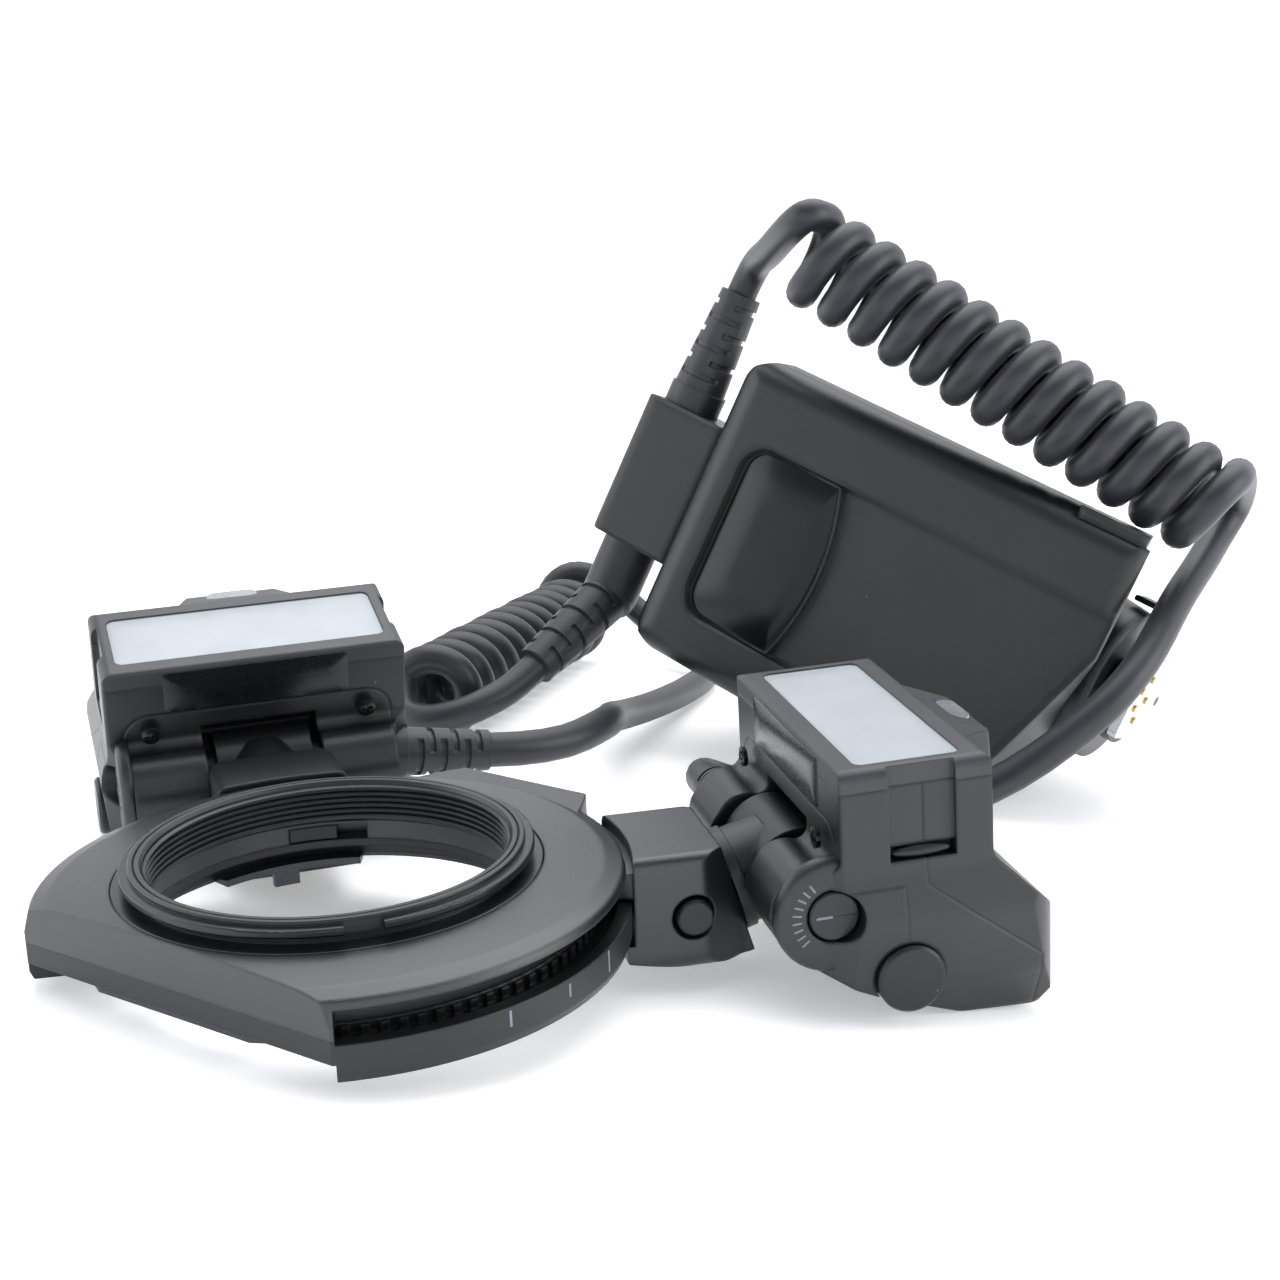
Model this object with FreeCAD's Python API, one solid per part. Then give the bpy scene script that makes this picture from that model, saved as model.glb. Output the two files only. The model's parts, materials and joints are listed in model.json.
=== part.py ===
# Macro twin flash: a ring for a lens front, two small flash heads on arms, and a controller joined
# to the heads by curly cords.  Lengths in mm, angles in degrees.
# The ring is drawn with the lens axis along Z, its front up and its top towards +Y.
# An arm and a head are drawn once, for the right side, and mirrored for the left side.
import FreeCAD, Part
import math
import os
from FreeCAD import Placement, Rotation, Vector

os.makedirs("parts", exist_ok=True)

# How the photographed pose lies on the table
ring_lean = 6.47
ring_lean_towards = -135.1
ring_turn = -35.4
arm_turn_right = 40.9
arm_turn_left = 54.0
tilt_right = 1.4
tilt_left = 14.3
controller_place = Vector(158.15, 128.08, 23.50)
controller_nose = Vector(0.7806, -0.5468, -0.3028)
controller_up = Vector(0.3593, -0.0038, 0.9332)

# Ring
ring_radius = 48.0
ring_brow_radius = ring_radius - 1.1
ring_flat = ring_radius - 13.0
ring_inner_radius = 31.0
rear_bore_radius = 33.5
rear_bore_depth = 5.2
back_height = 3.0
parting_height = 6.6
brow_height = 12.4
bevel_radius = ring_radius - 4.0
bevel_height = 13.3
top_height = 14.2
bump_reach = ring_radius + 1.7
bump_half_width = 13.8
slot_floor = 6.0
slot_height = 5.0
slot_from = 23.5
slot_to = 136.2
slot_radius = ring_radius - 6.0
lip_radius = ring_radius - 2.4
groove_step = 1.3
rim_inner_radius = ring_radius - 8.5
click_pitch = 3.75
click_depth = 0.7
click_height = 1.6

# Filter collar
thread_radius = 29.0
thread_length = 7.0
collar_top = 18.0
collar_lip_radius = 31.4
collar_flange_radius = 32.9
collar_flange_low = 15.8
collar_flange_high = 17.2
collar_neck_radius = 30.95
collar_seat_radius = 34.3
collar_seat_depth = 1.2
collar_groove_radius = 30.4
notch_width = 3.0

# Claw plate and latch at the back of the ring
claw_plate_thickness = 0.8
claw_plate_radius = ring_radius - 9.4
claw_reach = 29.9
claw_span = 46.0
claw_thickness = 1.3
claw_drop = 1.0
latch_window_from = 32.5
latch_window_span = 25.0
latch_span = 15.0
latch_low = 6.8
latch_high = 9.2
latch_travel_angle = 7.0

# Arm
arm_half_width = 11.75
arm_top = 13.0
arm_bottom = -7.4
arm_shoulder = ring_radius + 11.0
arm_end = ring_radius + 18.5
arm_end_half_width = 6.5
arm_hook_radius = lip_radius
arm_hook_top = -1.6
arm_hook_bottom = -4.6
arm_tongue_half_angle = 13.0
slide_gap = 0.3
arm_button_radius = 3.1
arm_button_place = (ring_radius + 9.0, 2.2)
arm_button_proud = 0.5
arm_button_depth = 5.0
arm_button_dish = 3.9
arm_button_dish_depth = 1.6
button_travel = 1.2
button_gap = 0.15

# Swivel and hinge
hinge_reach = ring_radius + 27.5
hinge_height = 6.3
swivel_rise = 17.0
swivel_seam = 10.8
flange_radius = 8.9
flange_thickness = 2.0
neck_radius = 8.3
journal_radius = 4.0
journal_length = 9.0
running_gap = 0.05
barrel_radius = 8.0
barrel_half_width = 9.0
ear_gap = 2.0
ear_radius = 10.6
ear_outer = 25.0
pin_radius = 3.4
pin_washer_radius = 4.6
pin_head_radius = 4.1
pin_head_thickness = 1.4

# Head
head_inner = 1.0
head_outer = 26.0
head_half_width = 28.6
head_belly_half_width = 30.2
head_keel_half_width = 25.0
head_front = 23.7
bezel_thickness = 3.4
belly_reach = 38.4
belly_height = -5.5
keel_reach = 34.0
keel_height = -21.6
seam_reach = 15.0
seam_height = 3.8
seam_drop = -10.9
seam_end_reach = 33.8
yoke_reach = 11.2
yoke_top = 4.0
yoke_plate_top = 14.0
yoke_plate_half_width = 25.5
yoke_plate_thickness = 1.8
yoke_slot_reach = 9.2
window_centre = 13.4
window_length = 50.9
window_width = 17.4
window_thickness = 1.8
window_set_back = 0.3
window_ledge = 0.9
reflector_depth = 12.0
reflector_wall = 0.7
reflector_floor = 4.0
tower_half_width = 11.0
tower_tip_half_width = 8.0
tower_reach = 33.6
tower_foot_reach = 34.9
tower_foot = 5.0
tower_top = 20.6
lamp_length = 10.0
lamp_width = 3.6
lamp_thickness = 1.4
lamp_reach = 30.4
channel_from = 9.0
channel_to = 20.0
channel_foot = 8.0
channel_depth = 1.2
catch_depth = 3.2
catch_height = 2.2
tilt_button_radius = 5.6
tilt_button_place = (11.4, -11.2)
tilt_button_proud = 0.7
tilt_button_depth = 6.0
head_boot_length = 20.0
head_boot_radius = 4.9
head_boot_tip_radius = 4.1
head_boot_place = (0.0, -0.5)
head_boot_droop = 8.0

# Controller: x across the panel, y towards its display side, z from the foot to the cable block
body_offset = -2.7
body_half_width = 37.0
body_front = -32.0
body_shoulder = -22.0
body_back = 35.0
body_back_half_width = 21.0
body_foot = 4.3
body_lip = -28.0
body_slope_start = 10.0
body_slope_front = -20.0
body_slope_end = 27.0
body_foot_side = 22.0
body_foot_turn = 8.0
body_head = 110.0
body_corner = 15.0
body_foot_corner = 32.0
body_seam = -13.0
recess_depth = 2.2
recess_half_width = 21.0
recess_offset = -3.0
recess_top = body_head - 11.0
recess_corner = 7.0
wedge_foot = recess_top - 26.0
wedge_rise = 2.4
wedge_bulge = 4.0
panel_margin = 1.0
panel_thickness = 0.6
block_half_width = 17.25
block_depth = 17.0
block_front = -29.5
block_top = body_head + 20.5
block_boot_drop = 8.0
block_corner = 3.0
terminal_low = 5.2
terminal_slant = 3.2
terminal_high = 22.0
terminal_inner = 20.2
terminal_outer = 34.0
terminal_front = -31.0
terminal_back = -19.5
terminal_cap_thickness = 2.7
display_width = 36.0
display_height = 24.0
display_centre = body_head - 25.5
display_thickness = 1.6
display_set_back = 0.4
key_count = 4
key_pitch = 9.6
key_width = 7.6
key_height = 3.8
key_centre = display_centre - 16.0
key_thickness = 2.6
key_proud = 0.8
key_travel = 0.6
dial_centre = key_centre - 14.0
dial_radius = 10.0
dial_thickness = 3.0
dial_sink = 1.8
dial_gap = 0.3
dial_ribs = 30
set_radius = 3.5
set_collar_width = 1.3
switch_place = (11.5, dial_centre - 14.5)
switch_radius = 4.8
switch_thickness = 3.2
test_place = (-11.5, dial_centre - 14.5)
test_radius = 3.2
door_low = 38.0
door_high = 92.0
door_front = -14.0
door_back = 22.0
door_thickness = 2.0

# Foot
foot_plate_width = 18.6
foot_plate_depth = 18.0
foot_plate_thickness = 2.0
foot_neck_radius = 6.2
foot_neck_height = 5.0
boss_radius = 17.4
boss_root_radius = 18.3
boss_taper_height = 8.0
boss_height = 15.0
contact_radius = 0.8
contact_proud = 0.4
contact_ring = 5.2
lock_pin_radius = 1.1
lock_pin_place = (0.0, 7.6)
lever_radius = 11.5
lever_thickness = 2.2
lever_handle = 20.2
lever_width = 6.0
lever_pad_thickness = 1.3
lever_pad_top = 11.5
lever_gap = 0.25

# Cord and the boots on the cable block
cord_radius = 3.5
block_boot_length = 29.0
block_boot_radius = 6.2
block_boot_tip_radius = 4.8
boot_groove = 0.7
boot_groove_width = 1.3
boot_groove_count = 6
lower_boot_neck = 13.5
lower_boot_bend = 47.0
coil_radius = 7.75
upper_coil_start = Vector(79.5, 142.4, 116.7)
upper_coil_end = Vector(165.7, 114.9, 67.6)
upper_coil_turns = 13
lower_coil_start = Vector(-1.5, 153.5, 11.8)
lower_coil_end = Vector(28.2, 259.4, 11.8)
lower_coil_turns = 12.25
corner_share = 0.45
sample_step = 1.5

across = Vector(1, 0, 0)
deep = Vector(0, 1, 0)
up = Vector(0, 0, 1)
origin = Vector(0, 0, 0)


# A closed wire through corners (u, v) or (u, v, radius); place turns (u, v) into a point.
def outline(corners, place):
    spots = []
    for index, corner in enumerate(corners):
        here = Vector(corner[0], corner[1], 0)
        if len(corner) == 2:
            spots.append((here, None, here))
            continue
        before = Vector(*corners[index - 1][:2], 0) - here
        after = Vector(*corners[(index + 1) % len(corners)][:2], 0) - here
        before.normalize()
        after.normalize()
        half = before.getAngle(after) / 2
        middle = before + after
        middle.normalize()
        reach = corner[2] / math.sin(half)
        start = here + before * (corner[2] / math.tan(half))
        end = here + after * (corner[2] / math.tan(half))
        spots.append((start, here + middle * (reach - corner[2]), end))
    edges = []
    for index, (start, bulge, end) in enumerate(spots):
        if bulge is not None:
            edges.append(Part.Arc(place(*start[:2]), place(*bulge[:2]), place(*end[:2])).toShape())
        following = spots[(index + 1) % len(spots)][0]
        if (following - end).Length > 1e-6:
            edges.append(Part.LineSegment(place(*end[:2]), place(*following[:2])).toShape())
    return Part.Face(Part.Wire(edges))


# An outline in X and Y, from one height to another.
def plan(corners, low, high):
    return outline(corners, lambda u, v: Vector(u, v, low)).extrude(up * (high - low))


# An outline in X and Z, from one Y to another.
def side(corners, low, high):
    return outline(corners, lambda u, v: Vector(u, low, v)).extrude(deep * (high - low))


# An outline in Y and Z, from one X to another.
def front(corners, low, high):
    return outline(corners, lambda u, v: Vector(low, u, v)).extrude(across * (high - low))


def box(low, high):
    size = Vector(*high) - Vector(*low)
    return Part.makeBox(size.x, size.y, size.z, Vector(*low))


def rectangle(u, v, width, height, radius):
    left, right = u - width / 2, u + width / 2
    low, high = v - height / 2, v + height / 2
    return [(left, low, radius), (right, low, radius), (right, high, radius), (left, high, radius)]


# A profile in radius and height turned about Z; the angle runs from +Y towards +X.
def turned(profile, first=0.0, last=360.0):
    face = outline(profile, lambda r, z: Vector(0, r, z))
    face.rotate(origin, up, -last)
    return face.revolve(origin, up, last - first)


def rod(radius, start, end):
    return Part.makeCylinder(radius, (end - start).Length, start, end - start)


def cone(radius, tip_radius, start, end):
    return Part.makeCone(radius, tip_radius, (end - start).Length, start, end - start)


def fused(shapes):
    return shapes[0].multiFuse(shapes[1:]).removeSplitter()


def placed(shape, pose):
    result = shape.copy()
    result.Placement = pose.multiply(result.Placement)
    return result


# Ring

# All that lies inside the ring's flat side.
def ringOutline():
    reach = ring_radius + 8
    return box((-reach, -ring_flat, -3), (reach, reach, top_height + 3))


# The T-shaped groove that the arm's tongue runs in, the same on both sides.
def armGroove():
    low, high = slot_floor, slot_floor + slot_height
    outside = ring_radius + 3
    profile = [(slot_radius, low - groove_step), (lip_radius, low - groove_step), (lip_radius, low),
               (outside, low), (outside, high), (lip_radius, high),
               (lip_radius, high + groove_step * 0.7), (slot_radius, high + groove_step * 0.7)]
    return [turned(profile, slot_from, slot_to), turned(profile, -slot_to, -slot_from)]


def bump(low, high):
    edge = bump_half_width
    return plan([(-edge - 5, 40), (edge + 5, 40), (edge + 2.6, 45.2, 3), (edge, bump_reach, 1.2),
                 (-edge, bump_reach, 1.2), (-edge - 2.6, 45.2, 3)], low, high)


def latchWindow(gap):
    first, last = -latch_window_from - latch_window_span, -latch_window_from
    return turned([(ring_inner_radius - 2, latch_low - gap), (ring_inner_radius + 3, latch_low - gap),
                   (ring_inner_radius + 3, latch_high + gap), (ring_inner_radius - 2, latch_high + gap)],
                  first, last)


def ringFrontCover():
    inner = ring_inner_radius
    seat = collar_seat_radius + running_gap
    ledge = top_height - collar_seat_depth
    body = turned([(inner, parting_height), (ring_radius, parting_height), (ring_radius, 8.4),
                   (ring_brow_radius, brow_height, 0.5), (bevel_radius, bevel_height, 3),
                   (seat, top_height), (seat, ledge), (inner, ledge)])
    body = body.fuse(bump(parting_height, bevel_height - 0.4)).cut(
        Part.makeCylinder(inner, top_height, Vector(0, 0, parting_height)))
    return body.common(ringOutline()).cut(armGroove() + [latchWindow(0.2)])


def ringBackCover():
    inner = ring_inner_radius
    body = turned([(rear_bore_radius, back_height), (ring_radius, back_height),
                   (ring_radius, parting_height), (inner, parting_height), (inner, rear_bore_depth),
                   (rear_bore_radius, rear_bore_depth)])
    rim = [(rim_inner_radius, 0.8), (rim_inner_radius + 1.2, 0), (ring_radius - 0.6, 0, 0.4),
           (ring_radius, 1.4, 0.4), (ring_radius, parting_height), (rim_inner_radius, parting_height)]
    rims = [turned(rim, slot_from, slot_to), turned(rim, -slot_to, -slot_from)]
    plate = bump(back_height, parting_height)
    plate = plate.cut(Part.makeCylinder(ring_inner_radius + 6, parting_height, origin))
    body = body.multiFuse(rims + [plate]).common(ringOutline())
    body = body.cut(armGroove() + [latchWindow(0.2)])
    return body.multiFuse(clickTeeth()).removeSplitter()


# Small ratchet teeth along the back wall of each groove, which the arm's pawl clicks over.
def clickTeeth():
    count = int((slot_to - slot_from) / click_pitch)
    base = slot_floor - groove_step
    teeth = []
    for number in range(count):
        angle = slot_from + click_pitch * (number + 0.5)
        for hand in (1, -1):
            tooth = turned([(slot_radius - 0.5, base), (slot_radius + click_depth, base),
                            (slot_radius + click_depth, base + click_height),
                            (slot_radius - 0.5, base + click_height)],
                           hand * angle - click_pitch / 4, hand * angle + click_pitch / 4)
            teeth.append(tooth)
    return teeth


def filterCollar():
    low = collar_top - thread_length
    lip = 0.6
    body = turned([(thread_radius, low), (thread_radius, collar_top - 0.5), (thread_radius + 0.5, collar_top),
                   (collar_groove_radius - 0.2, collar_top), (collar_groove_radius, collar_top - 0.4),
                   (collar_groove_radius + 0.2, collar_top),
                   (collar_lip_radius, collar_top, 0.3), (collar_lip_radius, collar_flange_high + 0.2),
                   (collar_lip_radius + 0.1, collar_flange_low - 0.2),
                   (collar_neck_radius, collar_flange_low - 0.2), (collar_neck_radius, top_height + 0.1),
                   (collar_seat_radius, top_height, 0.3), (collar_seat_radius, top_height - collar_seat_depth),
                   (ring_inner_radius, top_height - collar_seat_depth),
                   (ring_inner_radius, parting_height + lip + 3.0), (ring_inner_radius - 0.9, parting_height + lip + 3.0)])
    spoke = math.degrees(notch_width / collar_flange_radius)
    arcs = []
    for start in (7.0, 127.0, 247.0):
        arcs.append(turned([(collar_lip_radius - 0.4, collar_flange_low), (collar_flange_radius, collar_flange_low, 0.4),
                            (collar_flange_radius, collar_flange_high, 0.4), (collar_lip_radius - 0.4, collar_flange_high)],
                           start + spoke, start + 120.0 - spoke))
    return body.multiFuse(arcs).removeSplitter()


# A spring-steel plate under the back cover with three claws that grip the lens front.
def clawPlate():
    high = back_height
    low = back_height - claw_plate_thickness
    plate = turned([(rear_bore_radius + 0.4, low), (claw_plate_radius, low),
                    (claw_plate_radius, high), (rear_bore_radius + 0.4, high)])
    claws = []
    for middle in (-58.0, 62.0, 182.0):
        first, last = middle - claw_span / 2, middle + claw_span / 2
        claws.append(turned([(claw_reach, low + 0.1), (rear_bore_radius + 1, low + 0.1),
                             (rear_bore_radius + 1, high), (rear_bore_radius - 0.3, high),
                             (claw_reach, low + claw_thickness)], first, last))
    tab = turned([(claw_reach, low - claw_drop - 1.4), (claw_reach + 1.2, low - claw_drop - 1.4),
                  (claw_reach + 1.2, low + 0.6), (claw_reach, low + 0.6)], -64.0, -55.5)
    return plate.common(ringOutline()).multiFuse(claws + [tab]).removeSplitter()


# The sliding catch that shows in the window of the bore and frees the ring from the lens.
def latch():
    first = -latch_window_from - latch_window_span + 0.3
    block = turned([(ring_inner_radius + 0.2, latch_low), (ring_inner_radius + 2.6, latch_low),
                    (ring_inner_radius + 2.6, latch_high), (ring_inner_radius + 0.2, latch_high)],
                   first, first + latch_span)
    return block


# Arm, drawn with X away from the lens axis and Y along the ring

swivel_axis = Vector(math.cos(math.radians(swivel_rise)), 0, math.sin(math.radians(swivel_rise)))
hinge_centre = Vector(hinge_reach, 0, hinge_height)


def beyondSeam(back):
    start = hinge_centre - swivel_axis * back
    return rod(40, start, start + swivel_axis * 60)


def armBlock():
    half = arm_half_width
    ring_gap = ring_radius + slide_gap + 0.1
    body = side([(arm_hook_radius, arm_hook_top), (arm_hook_radius, arm_hook_bottom, 0.6),
                 (arm_shoulder - 2, arm_bottom, 4), (arm_end + 4, arm_bottom, 3),
                 (arm_end + 1, arm_top), (ring_radius - 3, arm_top)], -half, half)
    body = body.common(front([(-half, arm_bottom, 3.5), (half, arm_bottom, 3.5),
                              (half, arm_top, 1.6), (-half, arm_top, 1.6)], 40, arm_end + 8))
    end = arm_end_half_width
    body = body.common(plan([(40, -half), (arm_shoulder, -half, 3), (arm_end, -end, 4), (arm_end + 5, -end),
                             (arm_end + 5, end), (arm_end, end, 4), (arm_shoulder, half, 3), (40, half)],
                            arm_bottom - 1, arm_top + 1))
    body = body.cut([beyondSeam(swivel_seam),
                     Part.makeCylinder(ring_gap, arm_top - arm_hook_top + 2, Vector(0, 0, arm_hook_top)),
                     rod(journal_radius + running_gap, hinge_centre - swivel_axis * (swivel_seam + journal_length + 0.3),
                         hinge_centre)])
    x, z = arm_button_place
    dish = Vector(x, -half, z)
    body = body.cut([cone(arm_button_dish, arm_button_dish - 0.5, dish - deep * 0.01, dish + deep * arm_button_dish_depth),
                     rod(arm_button_radius + button_gap, dish, dish + deep * (arm_button_depth + button_travel + 0.3))])
    return body.fuse(armTongue()).removeSplitter()


def armTongue():
    low, high = slot_floor + slide_gap, slot_floor + slot_height - slide_gap
    foot = slot_radius + click_depth + slide_gap
    profile = [(foot, low), (ring_radius + 2, low), (ring_radius + 2, high), (lip_radius - slide_gap, high),
               (lip_radius - slide_gap, high + groove_step * 0.7), (foot, high + groove_step * 0.7)]
    tongue = turned(profile, -arm_tongue_half_angle, arm_tongue_half_angle)
    tongue.rotate(origin, up, -90)
    return tongue


def armButton():
    x, z = arm_button_place
    tip = Vector(x, -arm_half_width - arm_button_proud, z)
    back = Vector(x, -arm_half_width + arm_button_depth, z)
    return cone(arm_button_radius - 0.4, arm_button_radius, tip, tip + deep * 0.4).fuse(
        rod(arm_button_radius, tip + deep * 0.4, back)).removeSplitter()


def knuckle():
    seam = hinge_centre - swivel_axis * (swivel_seam - 0.15)
    flange = rod(flange_radius, seam, seam + swivel_axis * flange_thickness)
    neck = cone(flange_radius - 0.5, neck_radius, seam + swivel_axis * flange_thickness, hinge_centre - swivel_axis * 2)
    neck = neck.common(box((40, -barrel_half_width, -20), (100, barrel_half_width, 40)))
    journal = rod(journal_radius, seam - swivel_axis * journal_length, seam)
    barrel = rod(barrel_radius, hinge_centre - deep * barrel_half_width, hinge_centre + deep * barrel_half_width)
    bore = rod(pin_radius, hinge_centre - deep * 20, hinge_centre + deep * 20)
    return fused([flange, neck, journal, barrel]).cut(bore)


def hingePin():
    near = ear_outer + 0.6
    far = ear_outer - 7
    shaft = rod(pin_radius, hinge_centre - deep * (near - 1), hinge_centre + deep * far)
    head = rod(pin_head_radius, hinge_centre - deep * near, hinge_centre - deep * (near - pin_head_thickness))
    ear_inner = barrel_half_width + ear_gap
    washers = [rod(pin_washer_radius, hinge_centre + deep * side_of * (barrel_half_width + 0.02),
                   hinge_centre + deep * side_of * (ear_inner - running_gap)) for side_of in (1, -1)]
    return fused([shaft, head] + washers)


# Head, drawn about its hinge: X away from the lens, Y across, Z out of the window

def headHull():
    wide, belly, keel = head_half_width, head_belly_half_width, head_keel_half_width
    body = side([(head_inner, head_front, 0.8), (head_outer, head_front, 1.2), (head_outer, 7.0, 3),
                 (belly_reach, belly_height, 4), (belly_reach - 1.6, keel_height + 4, 6), (keel_reach, keel_height, 1.5),
                 (21.0, keel_height + 1.0, 9), (7.7, -15.0, 14), (-6.6, -7.5, 3), (-ear_radius, 1.1, 5),
                 (-5.0, 9.0, 5), (head_inner, 6.0, 2)], -belly - 2, belly + 2)
    faces = front([(-wide, head_front, 2), (-wide, 6.0, 6), (-belly, -2.0, 8), (-belly + 1.0, -13.0, 6),
                   (-keel, keel_height - 1, 4), (keel, keel_height - 1, 4), (belly - 1.0, -13.0, 6),
                   (belly, -2.0, 8), (wide, 6.0, 6), (wide, head_front, 2)], -20, 50)
    reach = belly_reach + 1
    around = plan([(-20, -ear_outer), (-3.0, -ear_outer, 3), (4.0, -belly - 0.5, 6), (reach - 5, -belly - 0.5, 8),
                   (reach, -20.0, 8), (reach, 20.0, 8), (reach - 5, belly + 0.5, 8), (4.0, belly + 0.5, 6),
                   (-3.0, ear_outer, 3), (-20, ear_outer)], keel_height - 4, head_front + 1)
    return body.common(faces).common(around)


def tower():
    half, tip = tower_half_width, tower_tip_half_width
    return plan([(head_outer - 4, -half), (head_outer, -half), (tower_foot_reach, -tip, 2.5),
                 (tower_foot_reach, tip, 2.5), (head_outer, half), (head_outer - 4, half)], belly_height, head_front)


def towerSlope():
    return side([(head_outer - 6, belly_height - 1), (tower_foot_reach + 0.3, belly_height - 1),
                 (tower_foot_reach, tower_foot), (tower_reach, tower_top, 1.5), (head_outer, head_front - 0.5),
                 (head_outer - 6, head_front - 0.5)], -tower_half_width - 1, tower_half_width + 1)


# The whole closed head, before its seams are cut.
def headBody():
    return fused([headHull(), tower().common(towerSlope())])


def reflectorRoom(extra):
    depth = reflector_depth + extra
    length, width = window_length - 2 * window_ledge + 2 * extra, window_width - 2 * window_ledge + 2 * extra
    top = head_front - window_set_back - window_thickness
    return side([(window_centre - width / 2, top), (window_centre - reflector_floor / 2 - extra, top - depth),
                 (window_centre + reflector_floor / 2 + extra, top - depth), (window_centre + width / 2, top)],
                -length / 2, length / 2)


def channelCuts():
    cuts = []
    for hand in (1, -1):
        outer = head_half_width + 3
        near = head_half_width - channel_depth
        deepest = head_half_width - catch_depth
        for inner, low, high in ((near, channel_foot, head_front + 1), (deepest, channel_foot, channel_foot + catch_height)):
            low_y, high_y = sorted((hand * inner, hand * outer))
            cuts.append(box((channel_from, low_y, low), (channel_to, high_y, high)))
    return cuts


def tiltButtonHole():
    x, z = tilt_button_place
    face = -head_belly_half_width
    return rod(tilt_button_radius + button_gap, Vector(x, face - 3, z),
               Vector(x, face + tilt_button_depth + button_travel + 0.3, z))


def tiltButton():
    x, z = tilt_button_place
    face = -head_belly_half_width - tilt_button_proud
    tip = Vector(x, face, z)
    inner = Vector(x, -head_belly_half_width + tilt_button_depth, z)
    return cone(tilt_button_radius - 0.5, tilt_button_radius, tip, tip + deep * 0.5).fuse(
        rod(tilt_button_radius, tip + deep * 0.5, inner)).removeSplitter()


def seamRegion():
    far = belly_reach + 20
    return side([(seam_reach, head_front + 5), (seam_reach, seam_height), (seam_end_reach, seam_drop),
                 (seam_end_reach - 0.7, keel_height - 10), (far, keel_height - 10), (far, head_front + 5)], -50, 50)


def bezelRegion():
    return box((-50, -60, head_front - bezel_thickness), (80, 60, head_front + 20))


def yokeRegion():
    half = yoke_plate_half_width
    top = yoke_plate_top
    block = box((-40, -60, -60), (yoke_reach, 60, yoke_top))
    plate = front([(-half, yoke_top - 1), (half, yoke_top - 1), (half, top, 5), (-half, top, 5)],
                  -20, head_inner + yoke_plate_thickness)
    return block.fuse(plate)


def knuckleRoom():
    half = barrel_half_width + ear_gap
    return box((-40, -half, -40), (yoke_slot_reach, half, yoke_plate_top - 3.5))


# The ears' hinge bore and the pocket round the pin's head.
def hingeBores():
    bore = rod(pin_radius + running_gap, deep * -(ear_outer + 8), deep * (ear_outer - 6.7))
    pocket = rod(pin_head_radius + 0.3, deep * -(ear_outer + 8), deep * -(ear_outer + 0.6 - pin_head_thickness - 0.1))
    return [bore, pocket]


def headShells():
    body = headBody().cut(channelCuts() + [reflectorRoom(0.05), tiltButtonHole(), knuckleRoom()] + hingeBores())
    window = windowPlate(0.05)
    bezel = body.common(bezelRegion()).cut([window, lampLens(0.05)])
    rest = body.cut(bezelRegion())
    outer = rest.common(seamRegion()).cut(lampLens(0.05))
    inner = rest.cut(seamRegion())
    yoke = inner.common(yokeRegion())
    return {"front_bezel": bezel, "outer_shell": outer, "body_shell": inner.cut(yokeRegion()), "yoke_shell": yoke}


def windowPlate(gap):
    high = head_front - window_set_back
    return plan(rectangle(window_centre, 0, window_width + 2 * gap, window_length + 2 * gap, 1.6),
                high - window_thickness, high + (1 if gap else 0))


# A folded bright trough behind the window, open at its front and closed at its ends.
def reflector():
    wall = reflector_wall
    outer = reflectorRoom(0)
    top = head_front - window_set_back - window_thickness
    half = (window_width - 2 * window_ledge) / 2 - wall
    length = window_length / 2 - window_ledge - wall
    hollow = side([(window_centre - half, top + 0.1), (window_centre - reflector_floor / 2 + wall / 2, top - reflector_depth + wall),
                   (window_centre + reflector_floor / 2 - wall / 2, top - reflector_depth + wall),
                   (window_centre + half, top + 0.1)], -length, length)
    return outer.cut(hollow)


def lampLens(gap):
    high = head_front + (2 if gap else -2.0)
    low = head_front - 2.0 - lamp_thickness
    return plan(rectangle(lamp_reach, 0, lamp_width + 2 * gap, lamp_length + 2 * gap, lamp_width / 2 - 0.05), low, high)


# A tapered rubber boot with staggered flex slots, drawn along X from the face it leaves.
def boot(length, radius, tip_radius, collar):
    body = cone(radius, tip_radius, across * collar, across * length).fuse(rod(radius + 0.5, origin, across * collar))
    cuts = []
    pitch = (length - collar - 3.0) / boot_groove_count
    for number in range(boot_groove_count):
        middle = collar + 1.5 + pitch * (number + 0.5)
        here = radius + (tip_radius - radius) * (middle - collar) / (length - collar)
        ring = rod(here + 1, across * (middle - boot_groove_width / 2), across * (middle + boot_groove_width / 2))
        ring = ring.cut(rod(here - boot_groove, across * (middle - 2), across * (middle + 2)))
        gap = here * 0.45
        bars = box((0, -gap, -2 * radius), (length, gap, 2 * radius))
        if number % 2:
            bars = box((0, -2 * radius, -gap), (length, 2 * radius, gap))
        cuts.append(ring.cut(bars))
    return body.cut(cuts).removeSplitter()


def headBoot():
    shape = placed(boot(head_boot_length, head_boot_radius, head_boot_tip_radius, 2.5), headBootPose())
    return shape.cut(headHull())


def headBootPose():
    x, z = head_boot_place
    return Placement(Vector(x, ear_outer, z), Rotation(across, -head_boot_droop).multiply(Rotation(up, 90)))


# Controller

def controllerHull():
    off, half, back = body_offset, body_half_width, body_back_half_width
    section = plan([(off - half + 1.5, body_front, 6), (off + half - 1.5, body_front, 6), (off + half, body_shoulder, 9),
                    (off + back, body_back, 6), (off - back, body_back, 6), (off - half, body_shoulder, 9)],
                   body_foot - 1, body_head + 1)
    face = side([(off - half - 1, body_foot_side, body_foot_corner), (body_foot_turn, body_foot, 20),
                 (off + half + 1, body_foot, 6), (off + half + 1, body_head, body_corner),
                 (off - half - 1, body_head, body_corner)], body_front - 1, body_back + 1)
    profile = front([(body_front, body_foot + 1, 3), (body_lip, body_foot + 0.5, 2),
                     (body_slope_front, body_slope_start, 4), (body_back, body_slope_end, 9),
                     (body_back, body_head - 6, 9), (body_front, body_head, 7)], off - half - 2, off + half + 2)
    return section.common(face).common(profile)


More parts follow.
